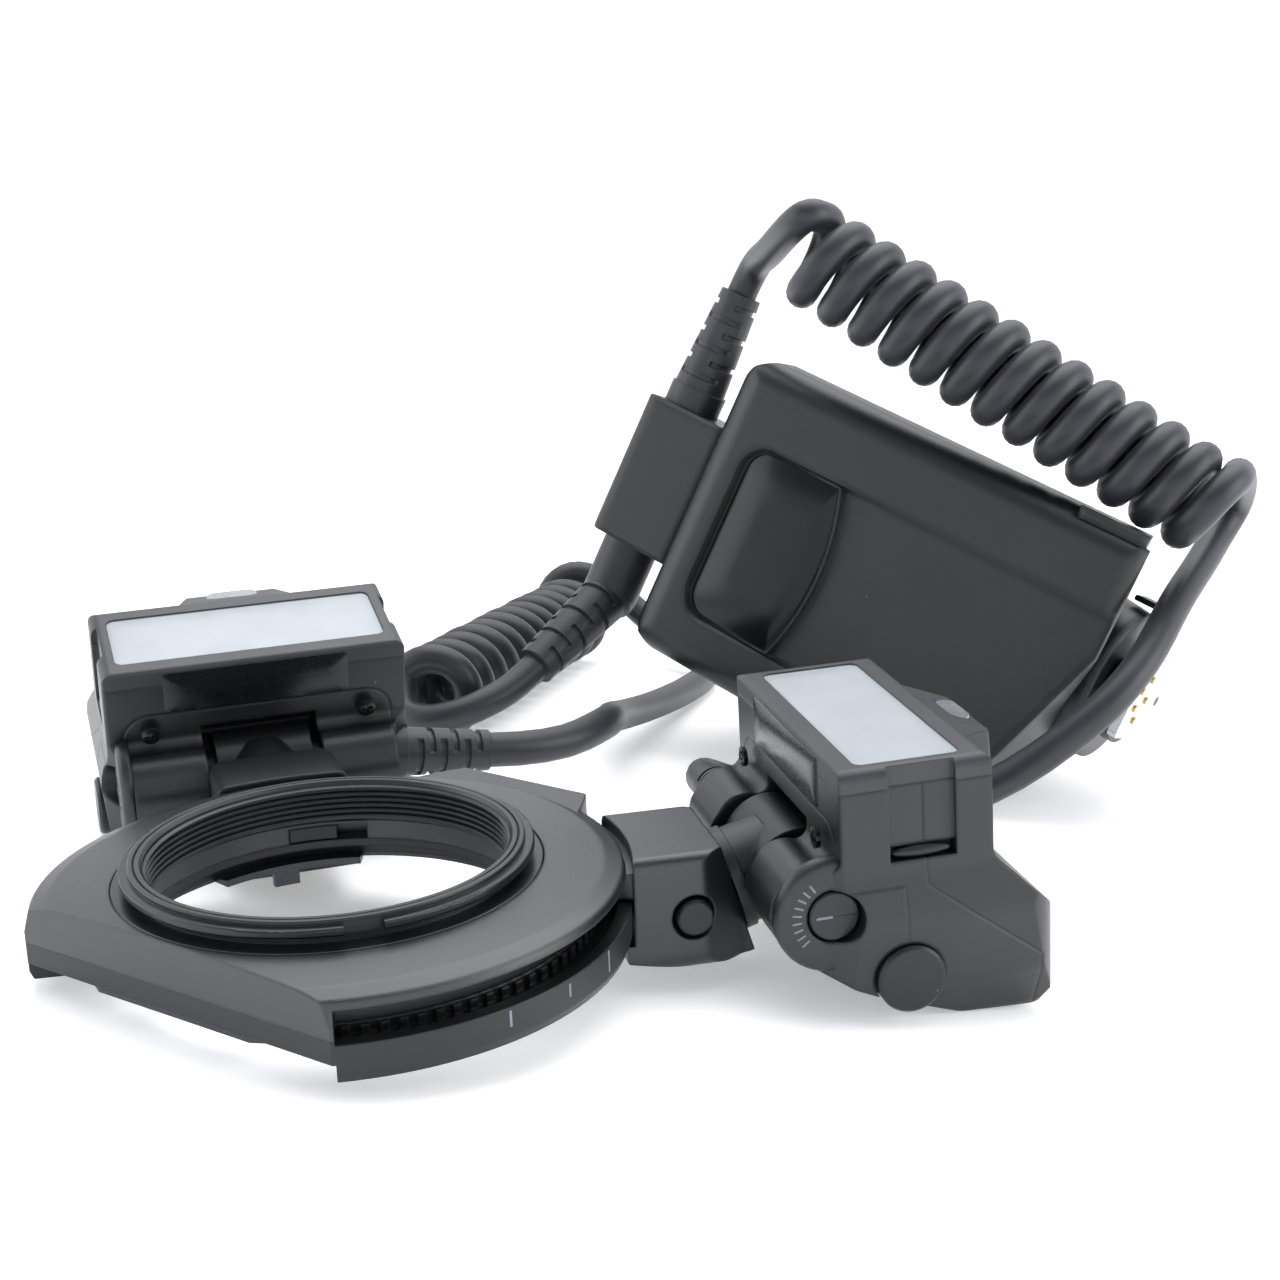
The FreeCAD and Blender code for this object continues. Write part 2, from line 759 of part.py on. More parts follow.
def panelRecess():
    middle = body_offset + recess_offset
    width = recess_half_width
    return side([(middle - width, body_foot - 12), (middle + width, body_foot - 12),
                 (middle + width, recess_top, recess_corner), (middle - width, recess_top, recess_corner)],
                body_front - 2, body_front + recess_depth)


def panelWedge():
    middle = body_offset + recess_offset
    floor = body_front + recess_depth
    width = recess_half_width - 0.5
    foot = wedge_foot - wedge_bulge
    ramp = front([(floor + 1, foot), (floor - wedge_rise, foot), (floor - wedge_rise, wedge_foot),
                  (floor - 0.2, recess_top - 0.5), (floor + 1, recess_top - 0.5)], middle - width, middle + width)
    radius = (width ** 2 + wedge_bulge ** 2) / (2 * wedge_bulge)
    centre = Vector(middle, floor - wedge_rise - 1, foot + radius)
    ramp = ramp.common(rod(radius, centre, centre + deep * (wedge_rise + 3)))
    return ramp.common(panelRecess().fuse(box((-60, floor, 0), (60, floor + 2, 120))))


def namePanel():
    middle = body_offset + recess_offset
    floor = body_front + recess_depth
    width = recess_half_width - panel_margin
    slope = wedge_rise - 0.2
    run = recess_top - 0.5 - wedge_foot
    low, high = wedge_foot + 1.0, recess_top - panel_margin - 1.0
    near = floor - wedge_rise + slope * (low - wedge_foot) / run
    far = floor - wedge_rise + slope * (high - wedge_foot) / run
    plate = front([(near, low), (near - panel_thickness, low), (far - panel_thickness, high), (far, high)],
                  middle - width, middle + width)
    return plate.common(side([(middle - width, low - 1), (middle + width, low - 1), (middle + width, high, 5),
                              (middle - width, high, 5)], body_front - 9, body_front + 9))


# The socket's housing and its cover share one slanted foot end.
def terminalSide(top, low, high):
    return front([(terminal_front, terminal_low, 1.5), (terminal_back, terminal_low + terminal_slant, 1.5),
                  (terminal_back, top, 1.5), (terminal_front, top, 1.5)], body_offset + low, body_offset + high)


def terminalHousing():
    off = body_offset
    top = terminal_high + 4
    body = plan([(off + terminal_inner, terminal_front, 2), (off + terminal_outer, terminal_front + 2, 4),
                 (off + terminal_outer, terminal_back, 3), (off + terminal_inner, terminal_back, 2)],
                terminal_low, top)
    return body.common(terminalSide(top, terminal_inner, terminal_outer))


def terminalCover():
    return terminalSide(terminal_high, terminal_outer + 0.05, terminal_outer + terminal_cap_thickness)


def terminalPocket():
    off = body_offset
    return box((off + terminal_outer, terminal_front - 4, terminal_low - 8),
               (off + body_half_width + 5, terminal_back + 0.4, terminal_high + 0.3))


def doorShape(gap):
    lean = math.degrees(math.atan2(body_half_width - body_back_half_width, body_back - body_shoulder))
    plate = side([(0, 0), (door_thickness, 0), (door_thickness, 1), (0, 1)], 0, 1)
    plate = front([(door_front - body_shoulder - gap, door_low - gap, 3), (door_back - body_shoulder + gap, door_low - gap, 3),
                   (door_back - body_shoulder + gap, door_high + gap, 3), (door_front - body_shoulder - gap, door_high + gap, 3)],
                  0 if not gap else -3, door_thickness + (gap and 0.05))
    plate.rotate(origin, up, -lean)
    plate.translate(Vector(body_offset - body_half_width + 0.15, body_shoulder, 0))
    return plate


def backPocket(place, radius, depth):
    x, z = place
    return rod(radius, Vector(body_offset + x, body_back - depth, z), Vector(body_offset + x, body_back + 3, z))


def displayShape(gap):
    face = body_back - display_set_back
    return side(rectangle(body_offset, display_centre, display_width + 2 * gap, display_height + 2 * gap, 2),
                face - display_thickness, face + (2 if gap else 0))


def keyShape(number, gap):
    x = body_offset + (number - (key_count - 1) / 2) * key_pitch
    return side(rectangle(x, key_centre, key_width + 2 * gap, key_height + 2 * gap, 1.2),
                body_back - key_thickness - (key_travel + 0.2 if gap else 0), body_back + (2 if gap else key_proud))


# A fixed collar on the back cover, round the set key and inside the dial
def setCollar():
    inner = set_radius + dial_gap
    floor = Vector(body_offset, body_back - dial_sink, dial_centre)
    ring = rod(inner + set_collar_width, floor - deep * 0.5, floor + deep * dial_thickness)
    return ring.cut(rod(inner, floor, floor + deep * (dial_thickness + 1)))


def dial():
    middle = Vector(body_offset, body_back - dial_sink + dial_gap, dial_centre)
    body = rod(dial_radius, middle, middle + deep * dial_thickness)
    bore = set_radius + dial_gap + set_collar_width + dial_gap
    body = body.cut(rod(bore, middle - deep, middle + deep * (dial_thickness + 1)))
    slots = []
    for number in range(dial_ribs):
        angle = 2 * math.pi * number / dial_ribs
        spot = middle + Vector(math.cos(angle), 0, math.sin(angle)) * dial_radius
        slots.append(rod(0.5, spot - deep, spot + deep * (dial_thickness + 1)))
    return body.cut(slots)


def setButton():
    middle = Vector(body_offset, body_back - dial_sink, dial_centre)
    return rod(set_radius, middle + deep * (key_travel + 0.2), middle + deep * (dial_thickness + 0.4))


def powerSwitch():
    x, z = switch_place
    base = Vector(body_offset + x, body_back - 1.5, z)
    disc = rod(switch_radius, base, base + deep * switch_thickness)
    wing = box((base.x - 1.3, base.y + 1.8, z - switch_radius - 1.5), (base.x + 1.3, base.y + switch_thickness + 0.8, z + 2))
    return disc.fuse(wing).removeSplitter()


def testButton():
    x, z = test_place
    base = Vector(body_offset + x, body_back - 2.5, z)
    return rod(test_radius, base, base + deep * 3.1)


def controllerShells():
    body = fused([controllerHull(), terminalHousing()]).cut([terminalPocket(), panelRecess(), footBoss()])
    body = body.fuse(panelWedge())
    cuts = [displayShape(0.05), backPocket((0, dial_centre), dial_radius + dial_gap, dial_sink),
            backPocket(switch_place, switch_radius + 0.1, 1.5),
            backPocket(test_place, test_radius + 0.1, 2.5 + key_travel + 0.2), doorShape(0.1)]
    cuts += [keyShape(number, 0.1) for number in range(key_count)]
    body = body.cut(cuts).fuse(setCollar()).removeSplitter()
    ahead = box((-80, -80, -20), (80, body_seam, 160))
    return {"controller_front_cover": body.common(ahead), "controller_back_cover": body.cut(ahead)}


def cableBlock():
    off, half = body_offset, block_half_width
    low = body_head - 2.5
    back = block_front + block_depth
    body = front([(block_front, low), (block_front, block_top, block_corner), (back, block_top, block_corner), (back, low)],
                 off - half, off + half)
    body = body.common(side([(off - half, low - 1), (off + half, low - 1), (off + half, block_top, 2.0),
                             (off - half, block_top, 2.0)], block_front - 1, back + 1))
    return body.cut(controllerHull())


def bootPlace(hand):
    return Vector(body_offset + hand * block_half_width, block_front + block_depth / 2, block_top - block_boot_drop)


def upperBoot():
    return placed(boot(block_boot_length, block_boot_radius, block_boot_tip_radius, 5.0), Placement(bootPlace(1), Rotation()))


# The lower boot leaves the block straight, then bends towards the viewer and the table.
def lowerBoot():
    neck = rod(block_boot_radius + 0.5, origin, across * lower_boot_neck)
    ball = Part.makeSphere(block_boot_radius + 0.5, across * lower_boot_neck)
    rest = placed(boot(block_boot_length, block_boot_radius, block_boot_tip_radius, 1.5), lowerBootBend())
    return placed(fused([neck, ball, rest]), Placement(bootPlace(-1), Rotation(up, 180)))


def lowerBootBend():
    return Placement(across * lower_boot_neck, Rotation(Vector(0, 0.085, 1), lower_boot_bend))


# Foot

# The round boss that carries the foot; its root sits in the shells.
def footBoss():
    low = foot_plate_thickness + foot_neck_height
    middle = low + boss_taper_height
    return cone(boss_radius, boss_root_radius, up * low, up * middle).fuse(
        rod(boss_root_radius, up * middle, up * (low + boss_height))).removeSplitter()


def footBase():
    neck = rod(foot_neck_radius, up * foot_plate_thickness, up * (foot_plate_thickness + foot_neck_height + 1))
    return footBoss().fuse(neck).cut(contactHoles(running_gap)).removeSplitter()


def contactSpots():
    spots = [Vector(0, 0, 0)]
    for number in range(4):
        angle = math.radians(200 + 47 * number)
        spots.append(Vector(contact_ring * math.cos(angle), contact_ring * math.sin(angle), 0))
    return spots


def contactHoles(gap):
    low = -1 if gap else -contact_proud
    return [rod(contact_radius + gap, spot + up * low, spot + up * (foot_plate_thickness + 0.6)) for spot in contactSpots()]


def contactPins():
    return Part.makeCompound(contactHoles(0))


def footPlate():
    plate = plan(rectangle(0, 0, foot_plate_width, foot_plate_depth, 1.2), 0, foot_plate_thickness)
    x, y = lock_pin_place
    pin_hole = rod(lock_pin_radius + running_gap, Vector(x, y, -1), Vector(x, y, foot_plate_thickness + 1))
    return plate.cut(contactHoles(running_gap) + [pin_hole])


# A ring round the foot's neck, below the boss, with a handle that ends in an upturned pad.
def lockLever():
    low = foot_plate_thickness + lever_gap
    high = low + lever_thickness
    half = lever_width / 2
    handle = plan(rectangle(lever_handle / 2, 0, lever_handle, lever_width, 1.0), low, high)
    pad = side([(lever_handle - lever_pad_thickness, low), (lever_handle, low), (lever_handle, lever_pad_top, 0.5),
                (lever_handle - lever_pad_thickness, lever_pad_top, 0.5)], -half, half)
    body = fused([rod(lever_radius, up * low, up * high), handle, pad])
    return body.cut(rod(foot_neck_radius + running_gap, origin, up * lever_pad_top))


def lockPin():
    x, y = lock_pin_place
    return rod(lock_pin_radius, Vector(x, y, 0), Vector(x, y, foot_plate_thickness - 0.05))


# Placing the pieces

def ringPose():
    towards = math.radians(ring_lean_towards)
    axis = Vector(-math.sin(towards), math.cos(towards), 0)
    turn = Rotation(axis, ring_lean).multiply(Rotation(up, ring_turn))
    return Placement(up * (ring_radius * math.sin(math.radians(ring_lean))), turn)


def controllerPose():
    nose = Vector(controller_nose)
    turn = Rotation(controller_up, nose.cross(controller_up), nose * -1, "ZXY")
    return Placement(controller_place, turn)


def armPose(hand):
    angle = 90 - arm_turn_right if hand > 0 else 90 + arm_turn_left
    return Placement(origin, Rotation(up, angle))


def headPose(hand):
    tilt = tilt_right if hand > 0 else tilt_left
    return armPose(hand).multiply(Placement(hinge_centre, Rotation(deep, -tilt)))


def handed(shape, hand):
    return shape if hand > 0 else shape.mirror(origin, deep)


# Cords

# The middle point and the radius of the arc that leaves start along heading and ends at end.
def arcThrough(start, heading, end):
    chord = end - start
    half = heading.getAngle(chord)
    rise = heading - chord * (heading.dot(chord) / chord.dot(chord))
    if half < 1e-4:
        return start + chord * 0.5, math.inf
    rise.normalize()
    return start + chord * 0.5 + rise * (chord.Length / 2 * math.tan(half / 2)), chord.Length / (2 * math.sin(half))


# Two arcs that join one point and heading to the next without a kink.
def biarc(start, heading, end, far_heading):
    gap = end - start
    both = heading + far_heading
    spread = 2 * (1 - heading.dot(far_heading))
    reach = gap.dot(both)
    if spread < 1e-6:
        reach = gap.dot(gap) / (4 * gap.dot(far_heading))
    else:
        reach = (math.sqrt(reach ** 2 + spread * gap.dot(gap)) - reach) / spread
    middle = (start + end + (heading - far_heading) * reach) * 0.5
    bulge, radius = arcThrough(start, heading, middle)
    far_bulge, far_radius = arcThrough(end, far_heading * -1, middle)
    arcs = [Part.Arc(start, bulge, middle).toShape(), Part.Arc(middle, far_bulge, end).toShape()]
    return arcs, min(radius, far_radius)


# The stops of a helix, a quarter turn apart; hand is 1 where it turns as a screw does.
def helixStops(start, end, turns, first_side, hand):
    axis = end - start
    length = axis.Length
    axis.normalize()
    side_out = first_side - axis * first_side.dot(axis)
    side_out.normalize()
    onward = axis.cross(side_out) * hand
    rise = length / (turns * 2 * math.pi * coil_radius)
    stops = []
    for quarter in range(int(turns * 4) + 1):
        angle = quarter * math.pi / 2
        spot = side_out * math.cos(angle) + onward * math.sin(angle)
        heading = onward * math.cos(angle) - side_out * math.sin(angle) + axis * rise
        heading.normalize()
        stops.append((start + axis * (length * angle / (turns * 2 * math.pi)) + spot * coil_radius, heading))
    return stops


def sweptTube(edges, start, heading):
    circle = Part.Wire(Part.makeCircle(cord_radius, start, heading))
    return Part.Wire(edges).makePipeShell([circle], True, False)


def leastGap(edges):
    points = []
    for edge in edges:
        points += edge.discretize(max(3, int(edge.Length / sample_step)))[:-1]
    apart = int(2.6 * cord_radius * 2 / sample_step)
    least = min((points[one] - points[two]).Length for one in range(len(points)) for two in range(one + apart, len(points)))
    return least - 2 * cord_radius


# A tube that leaves a boot straight, runs through the stops and ends with a straight stub.
def curledTube(name, stops):
    first, heading = stops[0]
    last, last_heading = stops[-1]
    stub = 2 * cord_radius
    begin, finish = first - heading * stub, last + last_heading * stub
    edges = [Part.LineSegment(begin, first).toShape()]
    radii = []
    for (spot, way), (next_spot, next_way) in zip(stops, stops[1:]):
        pair, radius = biarc(spot, way, next_spot, next_way)
        edges += pair
        radii.append(radius)
    edges.append(Part.LineSegment(last, finish).toShape())
    shape = sweptTube(edges, begin, heading)
    length = sum(edge.Length for edge in edges)
    print(name, "length %.1f, tightest arc %.1f, least gap to itself %.2f" % (length, min(radii), leastGap(edges)))
    print(name, "volume over section times length %.4f" % (shape.Volume / (length * math.pi * cord_radius ** 2)))
    return shape, finish, last_heading


# Straight runs with tangent arcs at their corners.
def freeTube(name, points):
    edges = []
    radii = []
    length = 0
    here = points[0]
    for before, corner, after in zip(points, points[1:], points[2:]):
        inward, outward = before - corner, after - corner
        cut = corner_share * min(inward.Length, outward.Length)
        inward.normalize()
        outward.normalize()
        half_turn = (math.pi - inward.getAngle(outward)) / 2
        radius = cut / math.tan(half_turn)
        middle = inward + outward
        middle.normalize()
        bulge = corner + middle * (radius / math.cos(half_turn) - radius)
        start, end = corner + inward * cut, corner + outward * cut
        edges += [Part.LineSegment(here, start).toShape(), Part.Arc(start, bulge, end).toShape()]
        radii.append(radius)
        here = end
    edges.append(Part.LineSegment(here, points[-1]).toShape())
    shape = sweptTube(edges, points[0], points[1] - points[0])
    length = sum(edge.Length for edge in edges)
    print(name, "length %.1f, arc radii" % length, " ".join("%.0f" % radius for radius in radii))
    print(name, "volume over section times length %.4f" % (shape.Volume / (length * math.pi * cord_radius ** 2)))
    return shape


# Where a boot's tip is, and which way it points.
def tipOf(pose, length):
    return pose.multVec(across * length), pose.Rotation.multVec(across)


def headBootTip(hand):
    spot, way = tipOf(headBootPose(), head_boot_length)
    pose = ringPose().multiply(headPose(hand))
    spot.y *= hand
    way.y *= hand
    return pose.multVec(spot), pose.Rotation.multVec(way)


def upperBootTip():
    return tipOf(controllerPose().multiply(Placement(bootPlace(1), Rotation())), block_boot_length)


def lowerBootTip():
    pose = controllerPose().multiply(Placement(bootPlace(-1), Rotation(up, 180))).multiply(lowerBootBend())
    return tipOf(pose, block_boot_length)


def unit(x, y, z):
    way = Vector(x, y, z)
    way.normalize()
    return way


def rightCord():
    tip, way = upperBootTip()
    stops = [(tip + way * (2 * cord_radius), way), (Vector(70.5, 138.0, 119.0), unit(0.61, -0.61, 0.51))]
    stops += helixStops(upper_coil_start, upper_coil_end, upper_coil_turns, up, -1)
    stops.append((Vector(177.0, 144.5, 65.0), unit(-0.40, -0.30, -0.86)))
    leaving = unit(-0.42, -0.85, -0.32)
    stops.append((Vector(163.5, 121.0, 50.0), leaving))
    coil, end, way = curledTube("right_cord_coil", stops)
    tip, way = headBootTip(1)
    points = [end, end + leaving * 22, Vector(135.0, 88.0, 25.5), Vector(119.0, 89.0, 13.5), Vector(101.0, 100.5, 3.9),
              Vector(80.8, 104.7, 4.5), Vector(64.6, 95.4, 11), tip + way * 18, tip]
    return {"right_cord_coil": coil, "right_cord_lead": freeTube("right_cord_lead", points)}


def leftCord():
    tip, way = lowerBootTip()
    stops = [(tip + way * (2 * cord_radius), way)]
    stops.append((Vector(9.0, 148.0, 11.0), unit(-0.95, 0, -0.30)))
    stops += helixStops(lower_coil_start, lower_coil_end, lower_coil_turns, up * -1, 1)
    stops.append((Vector(42.0, 264.0, 14.5), unit(0.78, -0.49, -0.39)))
    leaving = unit(-0.27, -0.96, 0)
    stops.append((Vector(68.0, 238.0, 3.9), leaving))
    coil, end, way = curledTube("left_cord_coil", stops)
    tip, way = headBootTip(-1)
    points = [end, end + leaving * 18, Vector(51, 180, 3.9), Vector(43.5, 153, 7),
              Vector(42.6, 131.9, 14.4), Vector(42.5, 106.6, 18.4), tip + way * 17, tip]
    return {"left_cord_coil": coil, "left_cord_lead": freeTube("left_cord_lead", points)}


nodes = {}
ring = ringPose()
for name, maker in (("ring_front_cover", ringFrontCover), ("ring_back_cover", ringBackCover),
                    ("ring_filter_collar", filterCollar), ("ring_claw_plate", clawPlate),
                    ("ring_release_latch", latch)):
    nodes[name] = placed(maker(), ring)

arm_pieces = {"arm_block": armBlock(), "arm_button": armButton(), "knuckle": knuckle(), "hinge_pin": hingePin()}
head_pieces = headShells()
head_pieces["flash_window"] = windowPlate(0)
head_pieces["reflector"] = reflector()
head_pieces["lamp_lens"] = lampLens(0)
head_pieces["tilt_button"] = tiltButton()
head_pieces["cord_boot"] = headBoot()
for hand, label in ((1, "right"), (-1, "left")):
    for name, shape in arm_pieces.items():
        nodes[label + "_" + name] = placed(handed(shape, hand), ring.multiply(armPose(hand)))
    for name, shape in head_pieces.items():
        nodes[label + "_" + name] = placed(handed(shape, hand), ring.multiply(headPose(hand)))

frame = controllerPose()
controller_pieces = controllerShells()
for name, maker in (("name_panel", namePanel), ("cable_block", cableBlock), ("upper_boot", upperBoot),
                    ("lower_boot", lowerBoot), ("terminal_cover", terminalCover), ("select_dial", dial),
                    ("set_button", setButton), ("power_switch", powerSwitch), ("test_button", testButton),
                    ("foot_base", footBase), ("foot_plate", footPlate), ("contact_pins", contactPins),
                    ("lock_lever", lockLever), ("lock_pin", lockPin)):
    controller_pieces[name] = maker()
controller_pieces["display_window"] = displayShape(0)
controller_pieces["battery_door"] = doorShape(0)
for number in range(key_count):
    controller_pieces["function_key_%d" % (number + 1)] = keyShape(number, 0)
for name, shape in controller_pieces.items():
    nodes[name] = placed(shape, frame)

# The whole stands with the middle of its box over the origin and its lowest point on the table.
bounds = Part.makeCompound(list(nodes.values())).optimalBoundingBox(False, False)
shift = Vector(-(bounds.XMin + bounds.XMax) / 2, -(bounds.YMin + bounds.YMax) / 2, -bounds.ZMin)
nodes.update(rightCord())
nodes.update(leftCord())

for name, shape in nodes.items():
    shape.translate(shift)
    good = shape.isValid() and shape.Volume > 0
    print(name, len(shape.Solids), "volume %.1f" % shape.Volume, "" if good else "BAD")
    shape.exportStep("parts/" + name + ".step")
print("nodes", len(nodes), "shift %.3f %.3f %.3f" % tuple(shift))


# The line that each moving piece turns or slides on, in the finished frame.
def printLine(name, pose, spot, way):
    point = pose.multVec(spot) + shift
    axis = pose.Rotation.multVec(way)
    axis.normalize()
    print("line %s %.4f %.4f %.4f %.6f %.6f %.6f" % ((name,) + tuple(point) + tuple(axis)))


printLine("ring_axis", ring, origin, up)
printLine("filter_thread", ring, up * (collar_top - 0.5 - (thread_length - 0.5) / 2), up)
printLine("lens_mount", ring, up * back_height, up * -1)
for hand, label in ((1, "right"), (-1, "left")):
    arm = ring.multiply(armPose(hand))
    head = ring.multiply(headPose(hand))
    printLine(label + "_swivel", arm, hinge_centre, swivel_axis)
    printLine(label + "_tilt", arm, hinge_centre, deep * -1)
    printLine(label + "_arm_button", arm, hinge_centre, deep * hand)
    printLine(label + "_tilt_button", head, origin, deep * hand)
printLine("press", frame, origin, deep * -1)
printLine("select_dial", frame, Vector(body_offset, body_back, dial_centre), deep)
printLine("power_switch", frame, Vector(body_offset + switch_place[0], body_back, switch_place[1]), deep)
printLine("terminal_cover", frame, Vector(body_offset + terminal_outer + terminal_cap_thickness, 0, terminal_high), deep * -1)
door_way = Vector(body_half_width - body_back_half_width, body_back - body_shoulder, 0)
printLine("battery_door", frame, Vector(body_offset - body_half_width + 0.15, body_shoulder, door_high), door_way)
printLine("foot", frame, origin, up)
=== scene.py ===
import json
import math
import bpy
import numpy as np
from mathutils import Matrix, Vector


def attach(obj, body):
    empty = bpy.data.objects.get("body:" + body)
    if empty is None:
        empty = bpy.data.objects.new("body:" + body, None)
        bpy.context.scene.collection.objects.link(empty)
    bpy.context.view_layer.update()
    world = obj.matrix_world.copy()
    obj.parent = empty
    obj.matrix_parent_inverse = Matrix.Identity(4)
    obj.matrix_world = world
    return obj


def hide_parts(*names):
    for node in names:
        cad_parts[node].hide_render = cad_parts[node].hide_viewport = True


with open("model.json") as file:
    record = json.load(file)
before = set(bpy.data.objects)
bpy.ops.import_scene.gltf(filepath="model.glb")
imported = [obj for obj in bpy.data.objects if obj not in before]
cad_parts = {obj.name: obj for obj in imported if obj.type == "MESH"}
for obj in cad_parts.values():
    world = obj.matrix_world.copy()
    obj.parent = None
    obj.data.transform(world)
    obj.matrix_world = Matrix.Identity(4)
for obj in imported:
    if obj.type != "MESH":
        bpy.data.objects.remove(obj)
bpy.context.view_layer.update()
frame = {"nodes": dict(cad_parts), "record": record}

# A macro twin flash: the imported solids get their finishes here, and the cords, the thread ridges,
# the screws, marks and labels are made as new pieces. Lengths in the dictionaries are millimetres,
# apart from those of the stage and the lamps, which are metres.
mm = 0.001
hands = {"right": 1, "left": -1}
print("frame loaded")

# the same poses as the part's source, then its last shift
pose = {
    "shift": (-50.976, -81.604, 0.713),
    "ringRadius": 48.0, "lean": 6.47, "leanTowards": -135.1, "ringTurn": -35.4,
    "armRight": 40.9, "armLeft": 54.0, "tiltRight": 1.4, "tiltLeft": 14.3,
    "hingeReach": 75.5, "hingeHeight": 6.3,
    "controllerSpot": (158.15, 128.08, 23.50),
    "controllerX": (0.3593, -0.0038, 0.9332), "controllerZ": (-0.7806, 0.5468, 0.3028),
}


def turnAbout(axis, degrees):
    return Matrix.Rotation(math.radians(degrees), 4, Vector(axis))


def ringPlace():
    towards = math.radians(pose["leanTowards"])
    axis = (-math.sin(towards), math.cos(towards), 0)
    lift = pose["ringRadius"] * math.sin(math.radians(pose["lean"]))
    return (Matrix.Translation(Vector(pose["shift"]) + Vector((0, 0, lift)))
            @ turnAbout(axis, pose["lean"]) @ turnAbout((0, 0, 1), pose["ringTurn"]))


def armPlace(hand):
    angle = 90 - pose["armRight"] if hand > 0 else 90 + pose["armLeft"]
    return ringPlace() @ turnAbout((0, 0, 1), angle)


# a head's own frame: x away from the lens, y across, z out of the window; the left one is mirrored
def headPlace(hand):
    tilt = pose["tiltRight"] if hand > 0 else pose["tiltLeft"]
    flip = Matrix.Diagonal((1, hand, 1, 1))
    return (armPlace(hand) @ Matrix.Translation((pose["hingeReach"], 0, pose["hingeHeight"]))
            @ turnAbout((0, 1, 0), -tilt) @ flip)


# the controller's frame: x across its panel, y towards the display side, z from foot to cable block
def controllerPlace():
    x = Vector(pose["controllerX"]).normalized()
    z = Vector(pose["controllerZ"])
    z = (z - x * z.dot(x)).normalized()
    y = z.cross(x)
    turn = Matrix((x, y, z)).transposed().to_4x4()
    return Matrix.Translation(Vector(pose["shift"]) + Vector(pose["controllerSpot"])) @ turn


def linked(name, data):
    thing = bpy.data.objects.new(name, data)
    bpy.context.collection.objects.link(thing)
    return thing


def toLinear(hexCode):
    channels = [int(hexCode[i:i + 2], 16) / 255 for i in (1, 3, 5)]
    return tuple(c / 12.92 if c <= 0.04045 else ((c + 0.055) / 1.055) ** 2.4 for c in channels) + (1.0,)


def setInputs(node, values):
    for name, value in values.items():
        node.inputs[name].default_value = value


def addNode(tree, kind, inputs=None, **settings):
    node = tree.nodes.new(kind)
    for name, value in settings.items():
        setattr(node, name, value)
    for name, value in (inputs or {}).items():
        if isinstance(value, bpy.types.NodeSocket):
            tree.links.new(value, node.inputs[name])
        else:
            node.inputs[name].default_value = value
    return node


def startFinish(name):
    material = bpy.data.materials.new(name)
    material.use_nodes = True
    tree = material.node_tree
    shader = tree.nodes["Principled BSDF"]
    where = addNode(tree, "ShaderNodeTexCoord").outputs["Object"]
    return material, tree, shader, where


def noiseOf(tree, where, size, detail):
    noise = addNode(tree, "ShaderNodeTexNoise", {"Vector": where, "Scale": 1 / (size * mm), "Detail": detail})
    return noise.outputs["Fac"]


def toneOf(tree, value, s, start=0.0, end=1.0):
    ramp = addNode(tree, "ShaderNodeValToRGB", {"Fac": value})
    low, high = ramp.color_ramp.elements
    low.position, high.position = start, end
    low.color, high.color = toLinear(s["dark"]), toLinear(s["light"])
    return ramp.outputs["Color"]


def setRoughness(tree, shader, value, low, high, start=0.0, end=1.0):
    spread = addNode(tree, "ShaderNodeMapRange", {"Value": value, "From Min": start, "From Max": end,
                                                  "To Min": low, "To Max": high})
    tree.links.new(spread.outputs["Result"], shader.inputs["Roughness"])


def setBump(tree, shader, height, strength, distance, normal=None):
    inputs = {"Height": height, "Strength": strength, "Distance": distance}
    if normal is not None:
        inputs["Normal"] = normal
    bump = addNode(tree, "ShaderNodeBump", inputs)
    tree.links.new(bump.outputs["Normal"], shader.inputs["Normal"])


# Moulded plastic or rubber: a fine grain in the bump, a slow drift of tone, and a few pale dust
# specks. "edge" is the small radius that a mould leaves on edges, and "relief" is the bump's height as
# a share of the grain's size.
plain = {
    "drift": 14.0, "driftDetail": 2.0, "toneFrom": 0.3, "toneTo": 0.7,
    "dust": "#8d9094", "dustPitch": 5.0, "dustSize": 0.022, "dustShare": 0.12,
    "grain": 0.32, "grainDetail": 3.0, "grainFrom": 0.3, "grainTo": 0.7, "roughSpread": 0.05,
    "bump": 0.35, "relief": 0.25, "edge": 0.45, "edgeSamples": 4,
    "gloss": 0.5, "sheen": 0.0, "sheenRough": 0.5, "coat": 0.0, "coatRough": 0.12,
}


